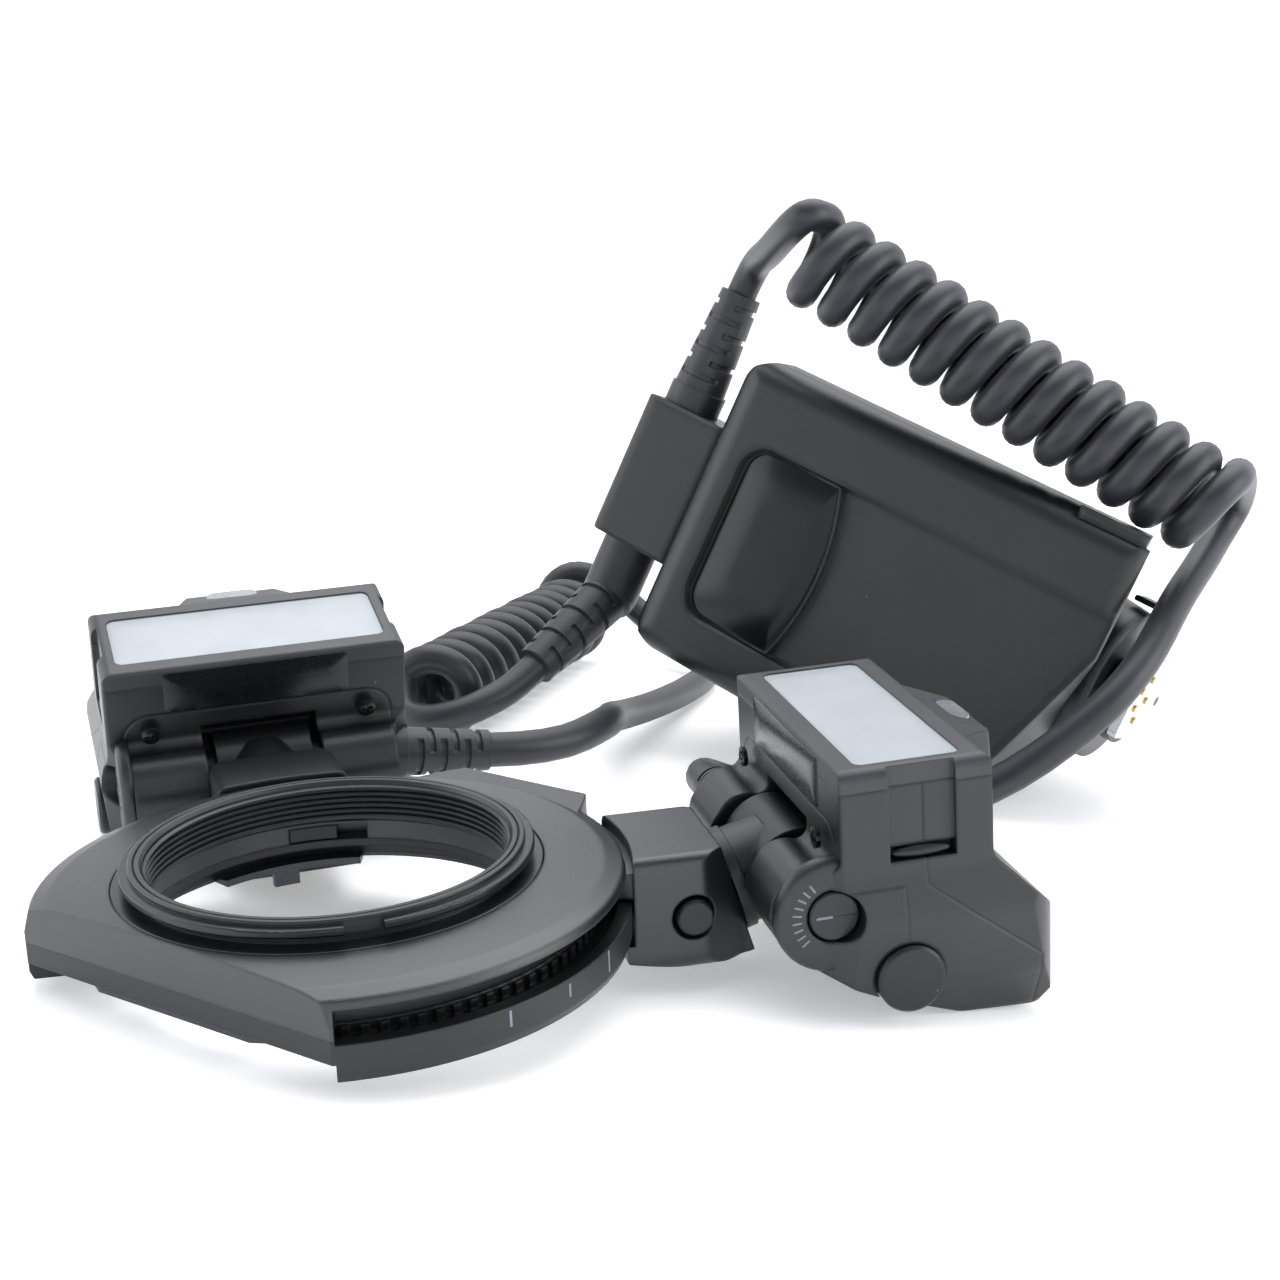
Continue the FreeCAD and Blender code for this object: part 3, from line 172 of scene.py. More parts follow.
def mouldedFinish(own):
    s = {**plain, **own}
    material, tree, shader, where = startFinish(s["name"])
    tone = toneOf(tree, noiseOf(tree, where, s["drift"], s["driftDetail"]), s, s["toneFrom"], s["toneTo"])
    specks = addNode(tree, "ShaderNodeTexVoronoi", {"Vector": where, "Scale": 1 / (s["dustPitch"] * mm)})
    near = addNode(tree, "ShaderNodeMath", {0: specks.outputs["Distance"], 1: s["dustSize"]},
                   operation="LESS_THAN")
    chance = addNode(tree, "ShaderNodeSeparateColor", {"Color": specks.outputs["Color"]})
    few = addNode(tree, "ShaderNodeMath", {0: chance.outputs["Red"], 1: s["dustShare"]},
                  operation="LESS_THAN")
    dust = addNode(tree, "ShaderNodeMath", {0: near.outputs[0], 1: few.outputs[0]}, operation="MULTIPLY")
    # a colour mix: input 0 is its factor, 6 and 7 are its colours, and output 2 is the result
    paint = addNode(tree, "ShaderNodeMix", {0: dust.outputs[0], 6: tone, 7: toLinear(s["dust"])},
                    data_type="RGBA")
    tree.links.new(paint.outputs[2], shader.inputs["Base Color"])
    grain = noiseOf(tree, where, s["grain"], s["grainDetail"])
    setRoughness(tree, shader, grain, s["rough"] - s["roughSpread"], s["rough"] + s["roughSpread"],
                 s["grainFrom"], s["grainTo"])
    edge = addNode(tree, "ShaderNodeBevel", {"Radius": s["edge"] * mm}, samples=s["edgeSamples"])
    setBump(tree, shader, grain, s["bump"], s["grain"] * mm * s["relief"], edge.outputs["Normal"])
    setInputs(shader, {"Specular IOR Level": s["gloss"], "Sheen Weight": s["sheen"],
                       "Sheen Roughness": s["sheenRough"], "Coat Weight": s["coat"],
                       "Coat Roughness": s["coatRough"]})
    return material


mouldings = {
    "grey_plastic": {"name": "satinRingPlastic", "dark": "#101215", "light": "#16181c", "rough": 0.34,
                     "gloss": 0.75, "edge": 0.7},
    "black_plastic": {"name": "satinBlackPlastic", "dark": "#0a0b0c", "light": "#0e0f11", "rough": 0.38},
    "collar_plastic": {"name": "turnedCollarPlastic", "dark": "#0d0e11", "light": "#121417", "rough": 0.33,
                       "bump": 0.12, "edge": 0.2},
    "pin_steel": {"name": "hingeCapPlastic", "dark": "#141619", "light": "#191b1f", "rough": 0.4,
                  "edge": 0.25},
    "bezel_plastic": {"name": "bezelGreyPlastic", "dark": "#2a2c2f", "light": "#323437", "rough": 0.42},
    "head_plastic": {"name": "headSatinPlastic", "dark": "#0f1114", "light": "#15171b", "rough": 0.38,
                     "gloss": 0.6, "edge": 1.0},
    "rubber": {"name": "slateCordRubber", "dark": "#1b1d22", "light": "#24262c", "rough": 0.44,
               "grain": 0.2, "bump": 0.2, "sheen": 0.05, "dustShare": 0.22, "edge": 0.3},
    "body_plastic": {"name": "controllerSatinPlastic", "dark": "#0c0d10", "light": "#111316", "rough": 0.33,
                     "edge": 2.6, "gloss": 0.5},
    "gloss_black": {"name": "glossyBlackPanel", "dark": "#050506", "light": "#08090a", "rough": 0.2,
                    "bump": 0.1, "gloss": 0.3, "dustShare": 0.2, "edge": 0.3},
    "key_rubber": {"name": "keyRubber", "dark": "#25272b", "light": "#2d3034", "rough": 0.55},
    "display_glass": {"name": "displayGlass", "dark": "#171a1a", "light": "#1e2221", "rough": 0.12,
                      "bump": 0.02, "coat": 0.8, "edge": 0.2},
}
trims = {
    "label": {"name": "bareLabelFoil", "dark": "#0c0e11", "light": "#111317", "rough": 0.24,
              "bump": 0.03, "edge": 0.1},
    "mark": {"name": "palePrintedMark", "dark": "#6a6f76", "light": "#7a7f86", "rough": 0.5, "edge": 0.05},
    "screw": {"name": "blackenedScrew", "dark": "#040405", "light": "#08090a", "rough": 0.25,
              "bump": 0.05, "edge": 0.1},
}

# Metal: fine lines drawn out along one axis, in its tone, its roughness and its bump.
bare = {"detail": 4.0, "roughBelow": 0.08, "roughAbove": 0.1, "bump": 0.15, "relief": 0.02}
metals = {
    "spring_steel": {"name": "blackenedSpringSteel", "dark": "#3a3c3f", "light": "#55585c", "rough": 0.42,
                     "line": 0.6, "stretch": (1.0, 8.0, 1.0)},
    "bright_reflector": {"name": "brightReflector", "dark": "#d8dde2", "light": "#f4f6f8", "rough": 0.2,
                         "line": 1.5, "stretch": (1.0, 1.0, 1.0)},
    "foot_steel": {"name": "brightFootSteel", "dark": "#b9bbbd", "light": "#e4e5e5", "rough": 0.26,
                   "line": 0.4, "stretch": (1.0, 6.0, 1.0)},
    "contact_gold": {"name": "goldContacts", "dark": "#c9a55a", "light": "#e8cf8e", "rough": 0.25,
                     "line": 0.3, "stretch": (1.0, 1.0, 1.0)},
}


def metalFinish(own):
    s = {**bare, **own}
    material, tree, shader, where = startFinish(s["name"])
    stretch = addNode(tree, "ShaderNodeMapping", {"Vector": where, "Scale": s["stretch"]})
    lines = noiseOf(tree, stretch.outputs["Vector"], s["line"], s["detail"])
    tree.links.new(toneOf(tree, lines, s), shader.inputs["Base Color"])
    setRoughness(tree, shader, lines, s["rough"] - s["roughBelow"], s["rough"] + s["roughAbove"])
    setBump(tree, shader, lines, s["bump"], s["relief"] * mm)
    setInputs(shader, {"Metallic": 1.0})
    return material


# Frosted flash window: milky plastic with a fine frost, half seen through, and a faint painted glow: the
# unlit window emits a little light, as painted brightness.
frosted = {"name": "frostedFlashWindow", "dark": "#c3c9cf", "light": "#dadfe3",
           "cloud": 9.0, "cloudDetail": 2.0, "frost": 0.35, "frostDetail": 3.0,
           "roughFrom": 0.25, "roughTo": 0.45, "bump": 0.3, "relief": 0.06,
           "clearness": 0.55, "index": 1.49, "glow": 0.04, "paintedGlowColour": "#eef3f6"}


def frostedFinish(s):
    material, tree, shader, where = startFinish(s["name"])
    cloud = noiseOf(tree, where, s["cloud"], s["cloudDetail"])
    tree.links.new(toneOf(tree, cloud, s), shader.inputs["Base Color"])
    frost = noiseOf(tree, where, s["frost"], s["frostDetail"])
    setRoughness(tree, shader, frost, s["roughFrom"], s["roughTo"])
    setBump(tree, shader, frost, s["bump"], s["relief"] * mm)
    # the emission is painted light: the unlit flash window is made to glow faintly
    setInputs(shader, {"Transmission Weight": s["clearness"], "IOR": s["index"],
                       "Emission Color": toLinear(s["paintedGlowColour"]), "Emission Strength": s["glow"]})
    return material


# Clear moulded lens of the focusing lamp, with a slight ripple in its gloss.
lampLens = {"name": "clearLampLens", "tint": "#cfd4d8", "ripple": 1.2, "rippleDetail": 2.0,
            "roughFrom": 0.06, "roughTo": 0.14, "clearness": 0.7, "index": 1.49}


def clearFinish(s):
    material, tree, shader, where = startFinish(s["name"])
    ripple = noiseOf(tree, where, s["ripple"], s["rippleDetail"])
    setRoughness(tree, shader, ripple, s["roughFrom"], s["roughTo"])
    setInputs(shader, {"Base Color": toLinear(s["tint"]), "Transmission Weight": s["clearness"],
                       "IOR": s["index"]})
    return material


print("making finishes")
finishes = {slot: mouldedFinish(s) for slot, s in mouldings.items()}
finishes.update({slot: metalFinish(s) for slot, s in metals.items()})
finishes["frosted_window"] = frostedFinish(frosted)
finishes["clear_lens"] = clearFinish(lampLens)
trimFinishes = {use: mouldedFinish(s) for use, s in trims.items()}

for part in frame["record"]["subparts"]:
    for holder in frame["nodes"][part["node"]].material_slots:
        holder.material = finishes[part["material_slot"]]
print("finishes on", len(frame["nodes"]), "nodes")


def moved(points):
    return (np.array(points, float) + np.array(pose["shift"])) * mm


# Turns of a coil: start + axis * way along + radius * (cos a * side + sin a * onward), as points
# of the cord's own spline; the radius is opened so that the spline, which cuts inside, keeps it.
def coilPoints(c):
    start, end, side = (np.array(c[k], float) for k in ("start", "end", "side"))
    axis = end - start
    length = np.linalg.norm(axis)
    axis /= length
    side -= axis * side.dot(axis)
    side /= np.linalg.norm(side)
    onward = np.cross(axis, side) * c["hand"]
    t = np.arange(c["first"] * c["perTurn"], c["last"] * c["perTurn"] + 1) / c["perTurn"]
    angle = 2 * np.pi * t
    radius = c["radius"] / math.cos(math.pi / c["perTurn"])
    radius = radius * (1 + c["unevenness"] * np.sin(t * c["waver"] + c["first"]))
    spots = np.outer(np.cos(angle), side) + np.outer(np.sin(angle), onward)
    return start + np.outer(t / c["turns"] * length, axis) + spots * radius[:, None]


# where a cord enters the boot on a head, and the way out of it; the boot droops a little
headBoot = {"root": (0, 25.0, -0.5), "droop": 8.0, "reach": 20.0}


def bootTip(hand, s):
    place = headPlace(hand)
    droop = math.radians(s["droop"])
    way = Vector((0, math.cos(droop), -math.sin(droop)))
    tip = place @ (Vector(s["root"]) + way * s["reach"])
    return tip - Vector(pose["shift"]), (place.to_3x3() @ way).normalized()


# where a cord leaves the controller's cable block: the right boot is straight, the left one bent
blockBoots = {"middle": -2.7, "spread": 17.25, "depth": -21.0, "height": 122.5, "reach": 29.0,
              "bendFrom": 13.5, "bend": 47.0, "bendAxis": (0, 0.085, 1)}


def controllerTip(hand, s):
    place = controllerPlace()
    if hand > 0:
        way = Vector((1, 0, 0))
        tip = Vector((s["middle"] + s["spread"] + s["reach"], s["depth"], s["height"]))
    else:
        bend = Matrix.Rotation(math.radians(s["bend"]), 3, Vector(s["bendAxis"]).normalized())
        way = bend @ Vector((1, 0, 0))
        local = Vector((s["bendFrom"], 0, 0)) + way * s["reach"]
        way = Vector((-way.x, -way.y, way.z))
        root = Vector((s["middle"] - s["spread"], s["depth"], s["height"]))
        tip = root + Vector((-local.x, -local.y, local.z))
    return place @ tip - Vector(pose["shift"]), (place.to_3x3() @ way).normalized()


cordLine = {"startRun": 8.0, "endRun": 14.0, "order": 3, "steps": 4, "roundness": 6}
coilBase = {"perTurn": 16, "radius": 7.9, "waver": 2.3}
cords = {
    "rightCord": {
        "diameter": 7.0, "length": 0.955,
        "leadIn": [(72.2, 162.0, 115.2), (74.4, 148.0, 119.3), (76.6, 138.5, 122.6), (79.2, 136.0, 124.6)],
        "coil": {**coilBase, "start": (79.5, 142.4, 116.7), "end": (165.7, 114.9, 67.6), "side": (0, 0, 1),
                 "hand": -1, "turns": 13.0, "first": 0.0, "last": 13.0, "unevenness": 0.01},
        "leadOut": [(172.0, 122.5, 75.0), (175.6, 133.0, 71.8), (178.6, 144.5, 66.0), (173.5, 140.5, 58.5),
                    (167.0, 127.5, 54.0), (159.0, 113.5, 48.5), (149.5, 96.0, 38.5), (138.5, 88.0, 28.0),
                    (119.0, 88.5, 12.0), (101.0, 99.5, 2.8), (80.8, 104.7, 3.4), (64.6, 95.4, 10.5)],
        "hand": 1, "nodes": ("right_cord_coil", "right_cord_lead"),
    },
    "leftCord": {
        "diameter": 7.0, "length": 0.88,
        "leadIn": [(12.5, 149.0, 11.4), (6.0, 146.5, 8.8), (-1.5, 147.5, 7.0), (-7.0, 151.5, 8.0)],
        "coil": {**coilBase, "start": (-1.5, 153.5, 11.3), "end": (28.2, 259.4, 11.3), "side": (0, 0, -1),
                 "hand": 1, "turns": 12.25, "first": 0.3125, "last": 12.25, "unevenness": 0.02},
        "leadOut": [(22.0, 263.5, 19.5), (29.0, 265.5, 23.5), (38.5, 264.5, 20.0), (50.0, 258.0, 11.0),
                    (62.0, 248.0, 4.9), (67.5, 234.0, 2.9), (60.5, 208.0, 3.4), (51.0, 180.0, 5.2),
                    (43.5, 153.0, 9.0), (41.5, 130.0, 14.2), (41.5, 108.0, 18.5)],
        "hand": -1, "nodes": ("left_cord_coil", "left_cord_lead"),
    },
}


def makeCord(name, c):
    start, startWay = controllerTip(c["hand"], blockBoots)
    end, endWay = bootTip(c["hand"], headBoot)
    points = [tuple(start), tuple(start + startWay * cordLine["startRun"])] + c["leadIn"]
    points += [tuple(p) for p in coilPoints(c["coil"])]
    points += c["leadOut"] + [tuple(end + endWay * cordLine["endRun"]), tuple(end)]
    places = moved(points)
    line = bpy.data.curves.new(name, "CURVE")
    line.dimensions = "3D"
    spline = line.splines.new("NURBS")
    spline.points.add(len(places) - 1)
    spline.points.foreach_set("co", np.column_stack([places, np.ones(len(places))]).ravel())
    spline.order_u = cordLine["order"]
    spline.use_endpoint_u = True
    spline.resolution_u = cordLine["steps"]
    line.bevel_depth = c["diameter"] / 2 * mm
    line.bevel_resolution = cordLine["roundness"]
    line.use_fill_caps = True
    line.materials.append(finishes["rubber"])
    piece = linked(name, line)
    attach(piece, "base")
    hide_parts(*c["nodes"])
    return piece


for name, c in cords.items():
    makeCord(name, c)
print("cords made")

sharpAngle = 40.0


# A piece from a grid: rows of points, each row a closed ring; its ends are closed with fans, and its
# faces are turned outwards by the sign of the volume that they enclose.
def makePiece(name, grid, place, body, finish):
    rows, columns = grid.shape[:2]
    points = grid.reshape(-1, 3)
    ends = np.array([grid[0].mean(axis=0), grid[-1].mean(axis=0)])
    points = np.vstack([points, ends])
    turn = np.array(place)
    places = (points @ turn[:3, :3].T + turn[:3, 3]) * mm
    r, c = np.meshgrid(np.arange(rows - 1), np.arange(columns), indexing="ij")
    first = r * columns + c
    beside = r * columns + (c + 1) % columns
    walls = np.stack([first, beside, beside + columns, first + columns], axis=-1).reshape(-1, 4)
    ring = np.arange(columns)
    onward = (ring + 1) % columns
    start = np.stack([onward, ring, np.full(columns, rows * columns)], axis=-1)
    last = (rows - 1) * columns
    stop = np.stack([last + ring, last + onward, np.full(columns, rows * columns + 1)], axis=-1)
    corners = np.vstack([walls[:, [0, 1, 2]], walls[:, [0, 2, 3]], start, stop])
    a, b, d = (places[corners[:, k]] for k in range(3))
    if np.einsum("ij,ij->i", a, np.cross(b, d)).sum() < 0:
        walls, start, stop = walls[:, ::-1], start[:, ::-1], stop[:, ::-1]
    mesh = bpy.data.meshes.new(name)
    mesh.from_pydata(places.tolist(), [], walls.tolist() + start.tolist() + stop.tolist())
    mesh.polygons.foreach_set("use_smooth", np.ones(len(mesh.polygons), bool))
    mesh.set_sharp_from_angle(angle=math.radians(sharpAngle))
    mesh.materials.append(finish)
    piece = linked(name, mesh)
    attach(piece, body)
    return piece


# A thin plate with round corners: rings of its outline, from the middle of its face over a small
# rounded edge down to its back; u runs across, v up and w out of the surface that it lies on.
plateShape = {"sides": 48, "middleShare": 0.45, "edgeShare": 0.8, "lipShare": 0.3}


def plateGrid(s):
    sides = plateShape["sides"]
    halfWidth, halfHeight = s["width"] / 2, s["height"] / 2
    angle = np.linspace(0, 2 * np.pi, sides, endpoint=False) + np.pi / sides
    corner = min(s["corner"], halfWidth, halfHeight)
    across = np.sign(np.cos(angle)) * (halfWidth - corner) + corner * np.cos(angle)
    up = np.sign(np.sin(angle)) * (halfHeight - corner) + corner * np.sin(angle)
    edge = min(s["edge"], corner * plateShape["edgeShare"], s["thickness"] * plateShape["edgeShare"])
    lip = plateShape["lipShare"] * edge
    middle = min(s["width"], s["height"]) * plateShape["middleShare"]
    inset = np.array([middle, edge, lip, 0.0, 0.0])
    height = np.array([0.0, 0.0, -lip, -edge, -s["thickness"]])
    shrinkU = 1 - inset[:, None] / halfWidth
    shrinkV = 1 - inset[:, None] / halfHeight
    levels = np.broadcast_to(height[:, None], (len(height), sides))
    return np.stack([across * shrinkU, up * shrinkV, levels], axis=-1)


# A frame from the spot, the way of its face and the way of its u axis.
def surfacePlace(place, spot, out, along):
    w = Vector(out).normalized()
    u = Vector(along)
    u = (u - w * u.dot(w)).normalized()
    frameTurn = Matrix((u, w.cross(u), w)).transposed().to_4x4()
    return place @ Matrix.Translation(spot) @ frameTurn


# A turned piece: its closed profile of (radius, height) is carried once round the axis.
def turnedGrid(profile, count):
    angle = np.linspace(0, 2 * np.pi, count + 1)
    radius, height = np.array(profile).T
    return np.stack([np.outer(np.cos(angle), radius), np.outer(np.sin(angle), radius),
                     np.broadcast_to(height, (count + 1, len(profile)))], axis=-1)


# Filter thread: a three-cornered ridge carried down a helix on the collar's bore. Its profile is in
# shares of the depth and the pitch, and over the first and last "fade" radians it runs out.
filterThread = {
    "bore": 29.0, "depth": 0.55, "pitch": 1.0, "top": 17.2, "turns": 5.8, "perTurn": 90,
    "fade": 0.5, "least": 0.05, "profile": [(0.15, 0.42), (-1.0, 0.08), (-1.0, -0.08), (0.15, -0.42)],
}


def threadGrid(s):
    angle = np.linspace(0, 2 * np.pi * s["turns"], int(s["perTurn"] * s["turns"]))
    fade = np.clip(np.minimum(angle, angle[-1] - angle) / s["fade"], s["least"], 1)
    drop = s["top"] - s["pitch"] * angle / (2 * np.pi)
    profile = np.array(s["profile"])
    radius = s["bore"] + profile[None, :, 0] * s["depth"] * fade[:, None]
    return np.stack([radius * np.cos(angle)[:, None], radius * np.sin(angle)[:, None],
                     drop[:, None] + profile[None, :, 1] * s["pitch"]], axis=-1)


makePiece("filterThreadRidges", threadGrid(filterThread), ringPlace(), "base",
          finishes["collar_plastic"])

# Short index marks on the ring's wall: (degrees round, height, length up)
ringMarks = {"thickness": 0.3, "width": 0.45, "edge": 0.05, "corner": 0.15, "radius": 48.0, "rise": 0.06,
             "wall": [(-14.6, 4.2, 2.6), (-0.1, 4.2, 2.2), (13.8, 4.0, 3.6)]}


def makeRingMarks(s):
    for number, (degrees, height, reach) in enumerate(s["wall"]):
        angle = math.radians(degrees)
        out = (math.cos(angle), math.sin(angle), 0)
        spot = Vector(out) * (s["radius"] + s["rise"]) + Vector((0, 0, height))
        place = surfacePlace(ringPlace(), spot, out, (0, 0, 1))
        plate = plateGrid({**s, "width": reach, "height": s["width"]})
        makePiece("ringWallMark%d" % (number + 1), plate, place, "base", trimFinishes["mark"])


makeRingMarks(ringMarks)

# Bare label plates on the heads' walls above the hinge, and the two cross-head screws beside the hinge.
headTrim = {
    "label": {"width": 35.0, "height": 8.6, "corner": 1.0, "thickness": 0.35, "edge": 0.12,
              "spot": (0.8, 0.0, 18.6)},
    "screw": {"radius": 1.75, "rise": 0.45, "dome": 0.7, "sink": 0.6, "slotHalf": 0.24, "slotReach": 1.15,
              "slotDepth": 0.5, "rings": 16, "firstRing": 0.04, "sides": 96, "slotWay": (0.3, 1, 0.2),
              "spots": [(-0.8, -20.5, 10.8), (-0.8, 20.5, 10.8)]},
}


# Screw head: a low dome over a disc, with a cross sunk into it as two slots.
def screwGrid(s):
    ring = np.linspace(s["firstRing"], 1, s["rings"]) * s["radius"]
    angle = np.linspace(0, 2 * np.pi, s["sides"], endpoint=False)
    x, y = np.outer(ring, np.cos(angle)), np.outer(ring, np.sin(angle))
    dome = s["rise"] * (1 - (ring / s["radius"])[:, None] ** 2 * s["dome"])
    upright = (np.abs(x) < s["slotHalf"]) & (np.abs(y) < s["slotReach"])
    level = (np.abs(y) < s["slotHalf"]) & (np.abs(x) < s["slotReach"])
    top = np.stack([x, y, dome - s["slotDepth"] * (upright | level)], axis=-1)
    foot = np.stack([x[-1], y[-1], np.full(s["sides"], -s["sink"])], axis=-1)
    return np.concatenate([top, foot[None]])


def makeHeadTrim(side, hand, s):
    head = headPlace(hand)
    body = side + "_head"
    wall = surfacePlace(head, s["label"]["spot"], (-1, 0, 0), (0, 1, 0))
    makePiece(side + "LabelPlate", plateGrid(s["label"]), wall, body, trimFinishes["label"])
    for number, spot in enumerate(s["screw"]["spots"]):
        place = surfacePlace(head, spot, (-1, 0, 0), s["screw"]["slotWay"])
        makePiece("%sScrew%d" % (side, number + 1), screwGrid(s["screw"]), place, body,
                  trimFinishes["screw"])


for side, hand in hands.items():
    makeHeadTrim(side, hand, headTrim)

# Hinge side of a head: a cheek over the yoke's ear, the cap on the hinge pin with its index line, and
# the tilt scale's raised ticks in an arc beside the cap.
hingeTrim = {
    "face": 27.4, "rise": 0.12, "cheekSides": 72, "capSides": 60,
    "cheek": [(4.45, -2.6), (9.0, -2.6), (9.6, -2.2), (9.6, -1.0), (9.1, -0.3), (8.4, 0.0), (4.7, 0.0),
              (4.45, -0.25)],
    "cap": [(0.0, -1.9), (4.1, -1.9), (4.1, -0.3), (3.8, 0.0), (0.0, 0.0)],
    "line": {"width": 2.7, "height": 0.45, "thickness": 0.4, "edge": 0.08, "corner": 0.2, "middle": 1.7},
    "tick": {"width": 1.6, "height": 0.34, "thickness": 0.4, "edge": 0.08, "corner": 0.15, "middle": 6.2},
    "ticks": 9, "from": 124.0, "to": 218.0,
}


def makeHingeTrim(side, hand, s):
    head = headPlace(hand)
    outer = surfacePlace(head, (0, -s["face"], 0), (0, -1, 0), (1, 0, 0))
    makePiece(side + "HingeCheek", turnedGrid(s["cheek"], s["cheekSides"]), outer, side + "_head",
              finishes["head_plastic"])
    makePiece(side + "HingeCap", turnedGrid(s["cap"], s["capSides"]), outer, side + "_swivel",
              finishes["pin_steel"])
    spot = (-s["line"]["middle"], -s["face"] - s["rise"], 0)
    makePiece(side + "TiltLine", plateGrid(s["line"]), surfacePlace(head, spot, (0, -1, 0), (1, 0, 0)),
              side + "_swivel", trimFinishes["mark"])
    for number in range(s["ticks"]):
        angle = math.radians(s["from"] + (s["to"] - s["from"]) * number / (s["ticks"] - 1))
        way = Vector((math.cos(angle), 0, math.sin(angle)))
        spot = way * s["tick"]["middle"] + Vector((0, -s["face"] - s["rise"], 0))
        makePiece("%sTiltTick%d" % (side, number + 1), plateGrid(s["tick"]),
                  surfacePlace(head, spot, (0, -1, 0), way), side + "_head",
                  trimFinishes["mark"])


for side, hand in hands.items():
    makeHingeTrim(side, hand, hingeTrim)

# Catch bar in the slot at the foot of each side channel: a spindle, thick in the middle.
catchBar = {"from": 9.4, "to": 19.6, "thick": 1.0, "thin": 0.35, "swell": 0.7, "depth": 27.4, "height": 9.1,
            "rows": 14, "sides": 32}


def spindleProfile(s):
    t = np.linspace(0, 1, s["rows"])
    radius = s["thin"] + (s["thick"] - s["thin"]) * np.sin(np.pi * t) ** s["swell"]
    radius[0] = radius[-1] = 0.0
    return np.column_stack([radius, s["from"] + (s["to"] - s["from"]) * t])


def makeCatchBars(side, hand, s):
    for number, face in enumerate((-1, 1)):
        place = surfacePlace(headPlace(hand), (0, face * s["depth"], s["height"]), (1, 0, 0), (0, 1, 0))
        makePiece("%sCatchBar%d" % (side, number + 1), turnedGrid(spindleProfile(s), s["sides"]), place,
                  side + "_head", finishes["black_plastic"])


for side, hand in hands.items():
    makeCatchBars(side, hand, catchBar)

# Bare glossy panel on the controller's wedge: an arc along its foot, straight sides and a round-cornered
# head. "rings" are (share of the outline, drop behind the face), and the depth follows the wedge's slope.
namePlate = {
    "middle": -5.7, "halfWidth": 20.0, "foot": 69.6, "arcRadius": 54.5, "head": 97.6, "corner": 5.5,
    "faceDepth": -32.75, "slopeFrom": 73.0, "slopeTo": 98.5, "slopeDrop": 2.2,
    "footPoints": 31, "cornerPoints": 10,
    "rings": [(0.03, 0.0), (0.5, 0.0), (0.975, 0.0), (1.0, 0.2), (1.0, 0.7)],
}


def namePlateGrid(s):
    w, r = s["halfWidth"], s["corner"]
    across = np.linspace(-w, w, s["footPoints"])
    arc = np.column_stack([across, s["foot"] + s["arcRadius"] - np.sqrt(s["arcRadius"] ** 2 - across ** 2)])
    bend = np.linspace(0, np.pi / 2, s["cornerPoints"])
    rightCorner = np.column_stack([w - r + r * np.cos(bend), s["head"] - r + r * np.sin(bend)])
    leftCorner = rightCorner[::-1] * (-1, 1)
    outline = np.vstack([arc, rightCorner, leftCorner])
    middle = outline.mean(axis=0)
    shares, drops = np.array(s["rings"]).T
    flat = middle + (outline - middle) * shares[:, None, None]
    slope = np.clip((flat[..., 1] - s["slopeFrom"]) / (s["slopeTo"] - s["slopeFrom"]), 0, 1) * s["slopeDrop"]
    depth = s["faceDepth"] + slope + drops[:, None]
    return np.stack([flat[..., 0] + s["middle"], depth, flat[..., 1]], axis=-1)


panel = makePiece("glossyPanel", namePlateGrid(namePlate), controllerPlace(), "base",
                  finishes["gloss_black"])
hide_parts("name_panel")
print("trim made")

# Floor, in metres: a disc whose rim is swept up on a quarter circle, so that floor and backdrop are
# one surface of pale paper with a slight glow.
paper = {"flatReach": 1.6, "bowlRadius": 1.4, "innerReach": 0.02, "sides": 96, "bowlSteps": 17,
         "colour": "#fafbfc", "mottle": 6.0, "roughFrom": 0.75, "roughTo": 0.85, "glow": 0.35}


def makeFloor(s):
    sides = s["sides"]
    lift = np.linspace(0, np.pi / 2, s["bowlSteps"])
    reach = np.concatenate([[s["innerReach"], s["flatReach"] / 2],
                            s["flatReach"] + s["bowlRadius"] * np.sin(lift)])
    height = np.concatenate([[0, 0], s["bowlRadius"] * (1 - np.cos(lift))])
    angle = np.linspace(0, 2 * np.pi, sides, endpoint=False)
    grid = np.stack([np.outer(reach, np.cos(angle)), np.outer(reach, np.sin(angle)),
                     np.outer(height, np.ones(sides))], axis=-1)
    r, c = np.meshgrid(np.arange(len(reach) - 1), np.arange(sides), indexing="ij")
    first = r * sides + c
    beside = r * sides + (c + 1) % sides
    walls = np.stack([first, first + sides, beside + sides, beside], axis=-1).reshape(-1, 4).tolist()
    mesh = bpy.data.meshes.new("paleFloor")
    mesh.from_pydata(grid.reshape(-1, 3).tolist(), [], walls + [list(range(sides))])
    mesh.polygons.foreach_set("use_smooth", np.ones(len(mesh.polygons), bool))
    floor = linked("paleFloor", mesh)
    material, tree, shader, where = startFinish("palePaper")
    mottle = addNode(tree, "ShaderNodeTexNoise", {"Vector": where, "Scale": s["mottle"]})
    setRoughness(tree, shader, mottle.outputs["Fac"], s["roughFrom"], s["roughTo"])
    setInputs(shader, {"Base Color": toLinear(s["colour"]), "Emission Color": (1.0, 1.0, 1.0, 1.0),
                       "Emission Strength": s["glow"]})
    mesh.materials.append(material)


# The world is dim towards the camera and bright behind the object: it fades along its Y direction.
studio = {"colour": "#f0f4fa", "nearLight": 0.3, "farLight": 1.2, "nearY": -0.9, "farY": 0.7}


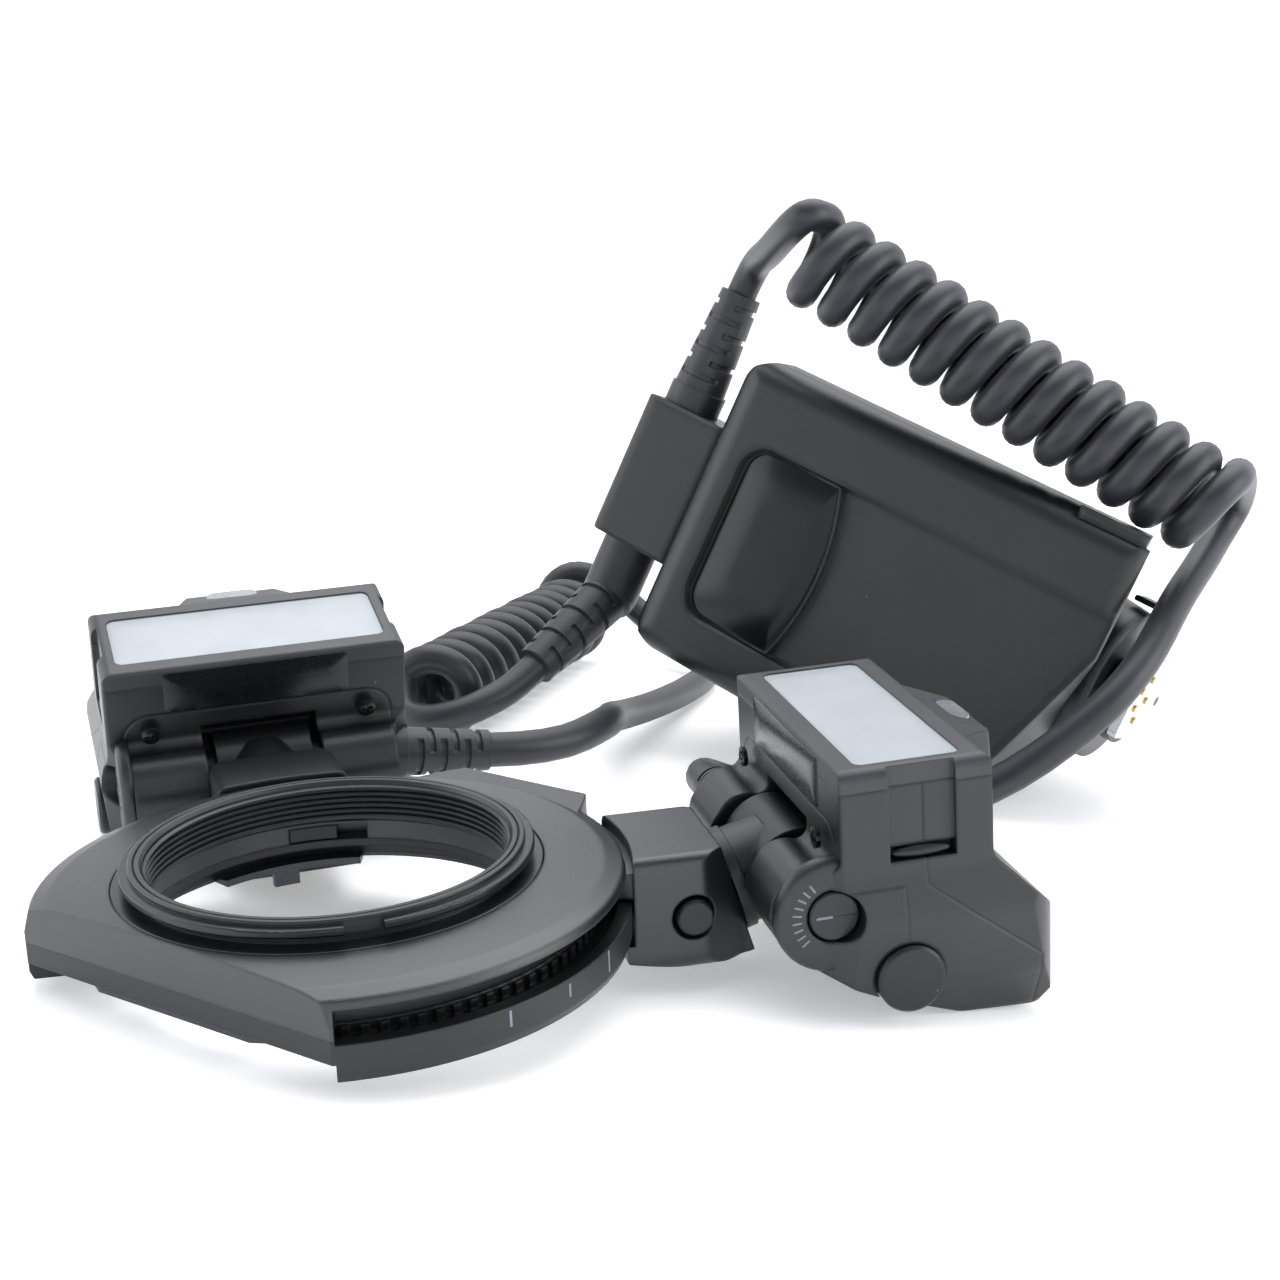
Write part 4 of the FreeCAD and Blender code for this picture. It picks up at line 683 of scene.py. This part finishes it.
def makeWorld(s):
    world = bpy.data.worlds.new("softStudio")
    world.use_nodes = True
    sky = world.node_tree
    view = addNode(sky, "ShaderNodeTexCoord").outputs["Generated"]
    way = addNode(sky, "ShaderNodeSeparateXYZ", {"Vector": view})
    fade = addNode(sky, "ShaderNodeMapRange", {"Value": way.outputs["Y"], "From Min": s["nearY"],
                                               "From Max": s["farY"], "To Min": s["nearLight"],
                                               "To Max": s["farLight"]})
    background = sky.nodes["Background"]
    background.inputs["Color"].default_value = toLinear(s["colour"])
    sky.links.new(fade.outputs["Result"], background.inputs["Strength"])
    bpy.context.scene.world = world
    bpy.context.scene.view_settings.view_transform = "Standard"   # plain curve: white paper, deep blacks


# lamps, in metres and watts
lamps = {
    "topSoftbox": {"spot": (0.05, 0.30, 0.95), "aim": (0.0, 0.05, 0.03), "size": 1.1, "power": 9.0},
    "leftSoftbox": {"spot": (-0.95, 0.1, 0.45), "aim": (0.0, 0.0, 0.03), "size": 0.7, "power": 2.6},
    "rightSoftbox": {"spot": (0.95, -0.25, 0.4), "aim": (0.0, 0.0, 0.03), "size": 0.7, "power": 4.6},
}


def makeLamp(name, s):
    light = bpy.data.lights.new(name, "AREA")
    light.size = s["size"]
    light.energy = s["power"]
    lamp = linked(name, light)
    lamp.location = s["spot"]
    lamp.rotation_euler = (Vector(s["aim"]) - Vector(s["spot"])).to_track_quat("-Z", "Y").to_euler()


# The camera's spot is in millimetres, like the part's own points; "near" and "far" are metres.
camera = {
    "spot": (45.83, -328.60, 124.82),
    "forward": (0.0, 0.98028, -0.19764), "right": (0.99904, 0.00865, 0.04291),
    "lens": 60.2, "sensor": 36.0, "shiftX": 0.00484, "shiftY": -0.00258, "near": 0.01, "far": 20.0,
}


def makeCamera(s):
    data = bpy.data.cameras.new("photoCamera")
    data.lens, data.sensor_width = s["lens"], s["sensor"]
    data.shift_x, data.shift_y = s["shiftX"], s["shiftY"]
    data.clip_start, data.clip_end = s["near"], s["far"]
    view = linked("photoCamera", data)
    back = -Vector(s["forward"]).normalized()
    right = Vector(s["right"])
    right = (right - back * right.dot(back)).normalized()
    up = back.cross(right)
    view.matrix_world = (Matrix.Translation((Vector(s["spot"]) + Vector(pose["shift"])) * mm)
                         @ Matrix((right, up, back)).transposed().to_4x4())
    bpy.context.scene.camera = view


makeFloor(paper)
makeWorld(studio)
for name, s in lamps.items():
    makeLamp(name, s)
makeCamera(camera)
print("floor, lights and camera set")
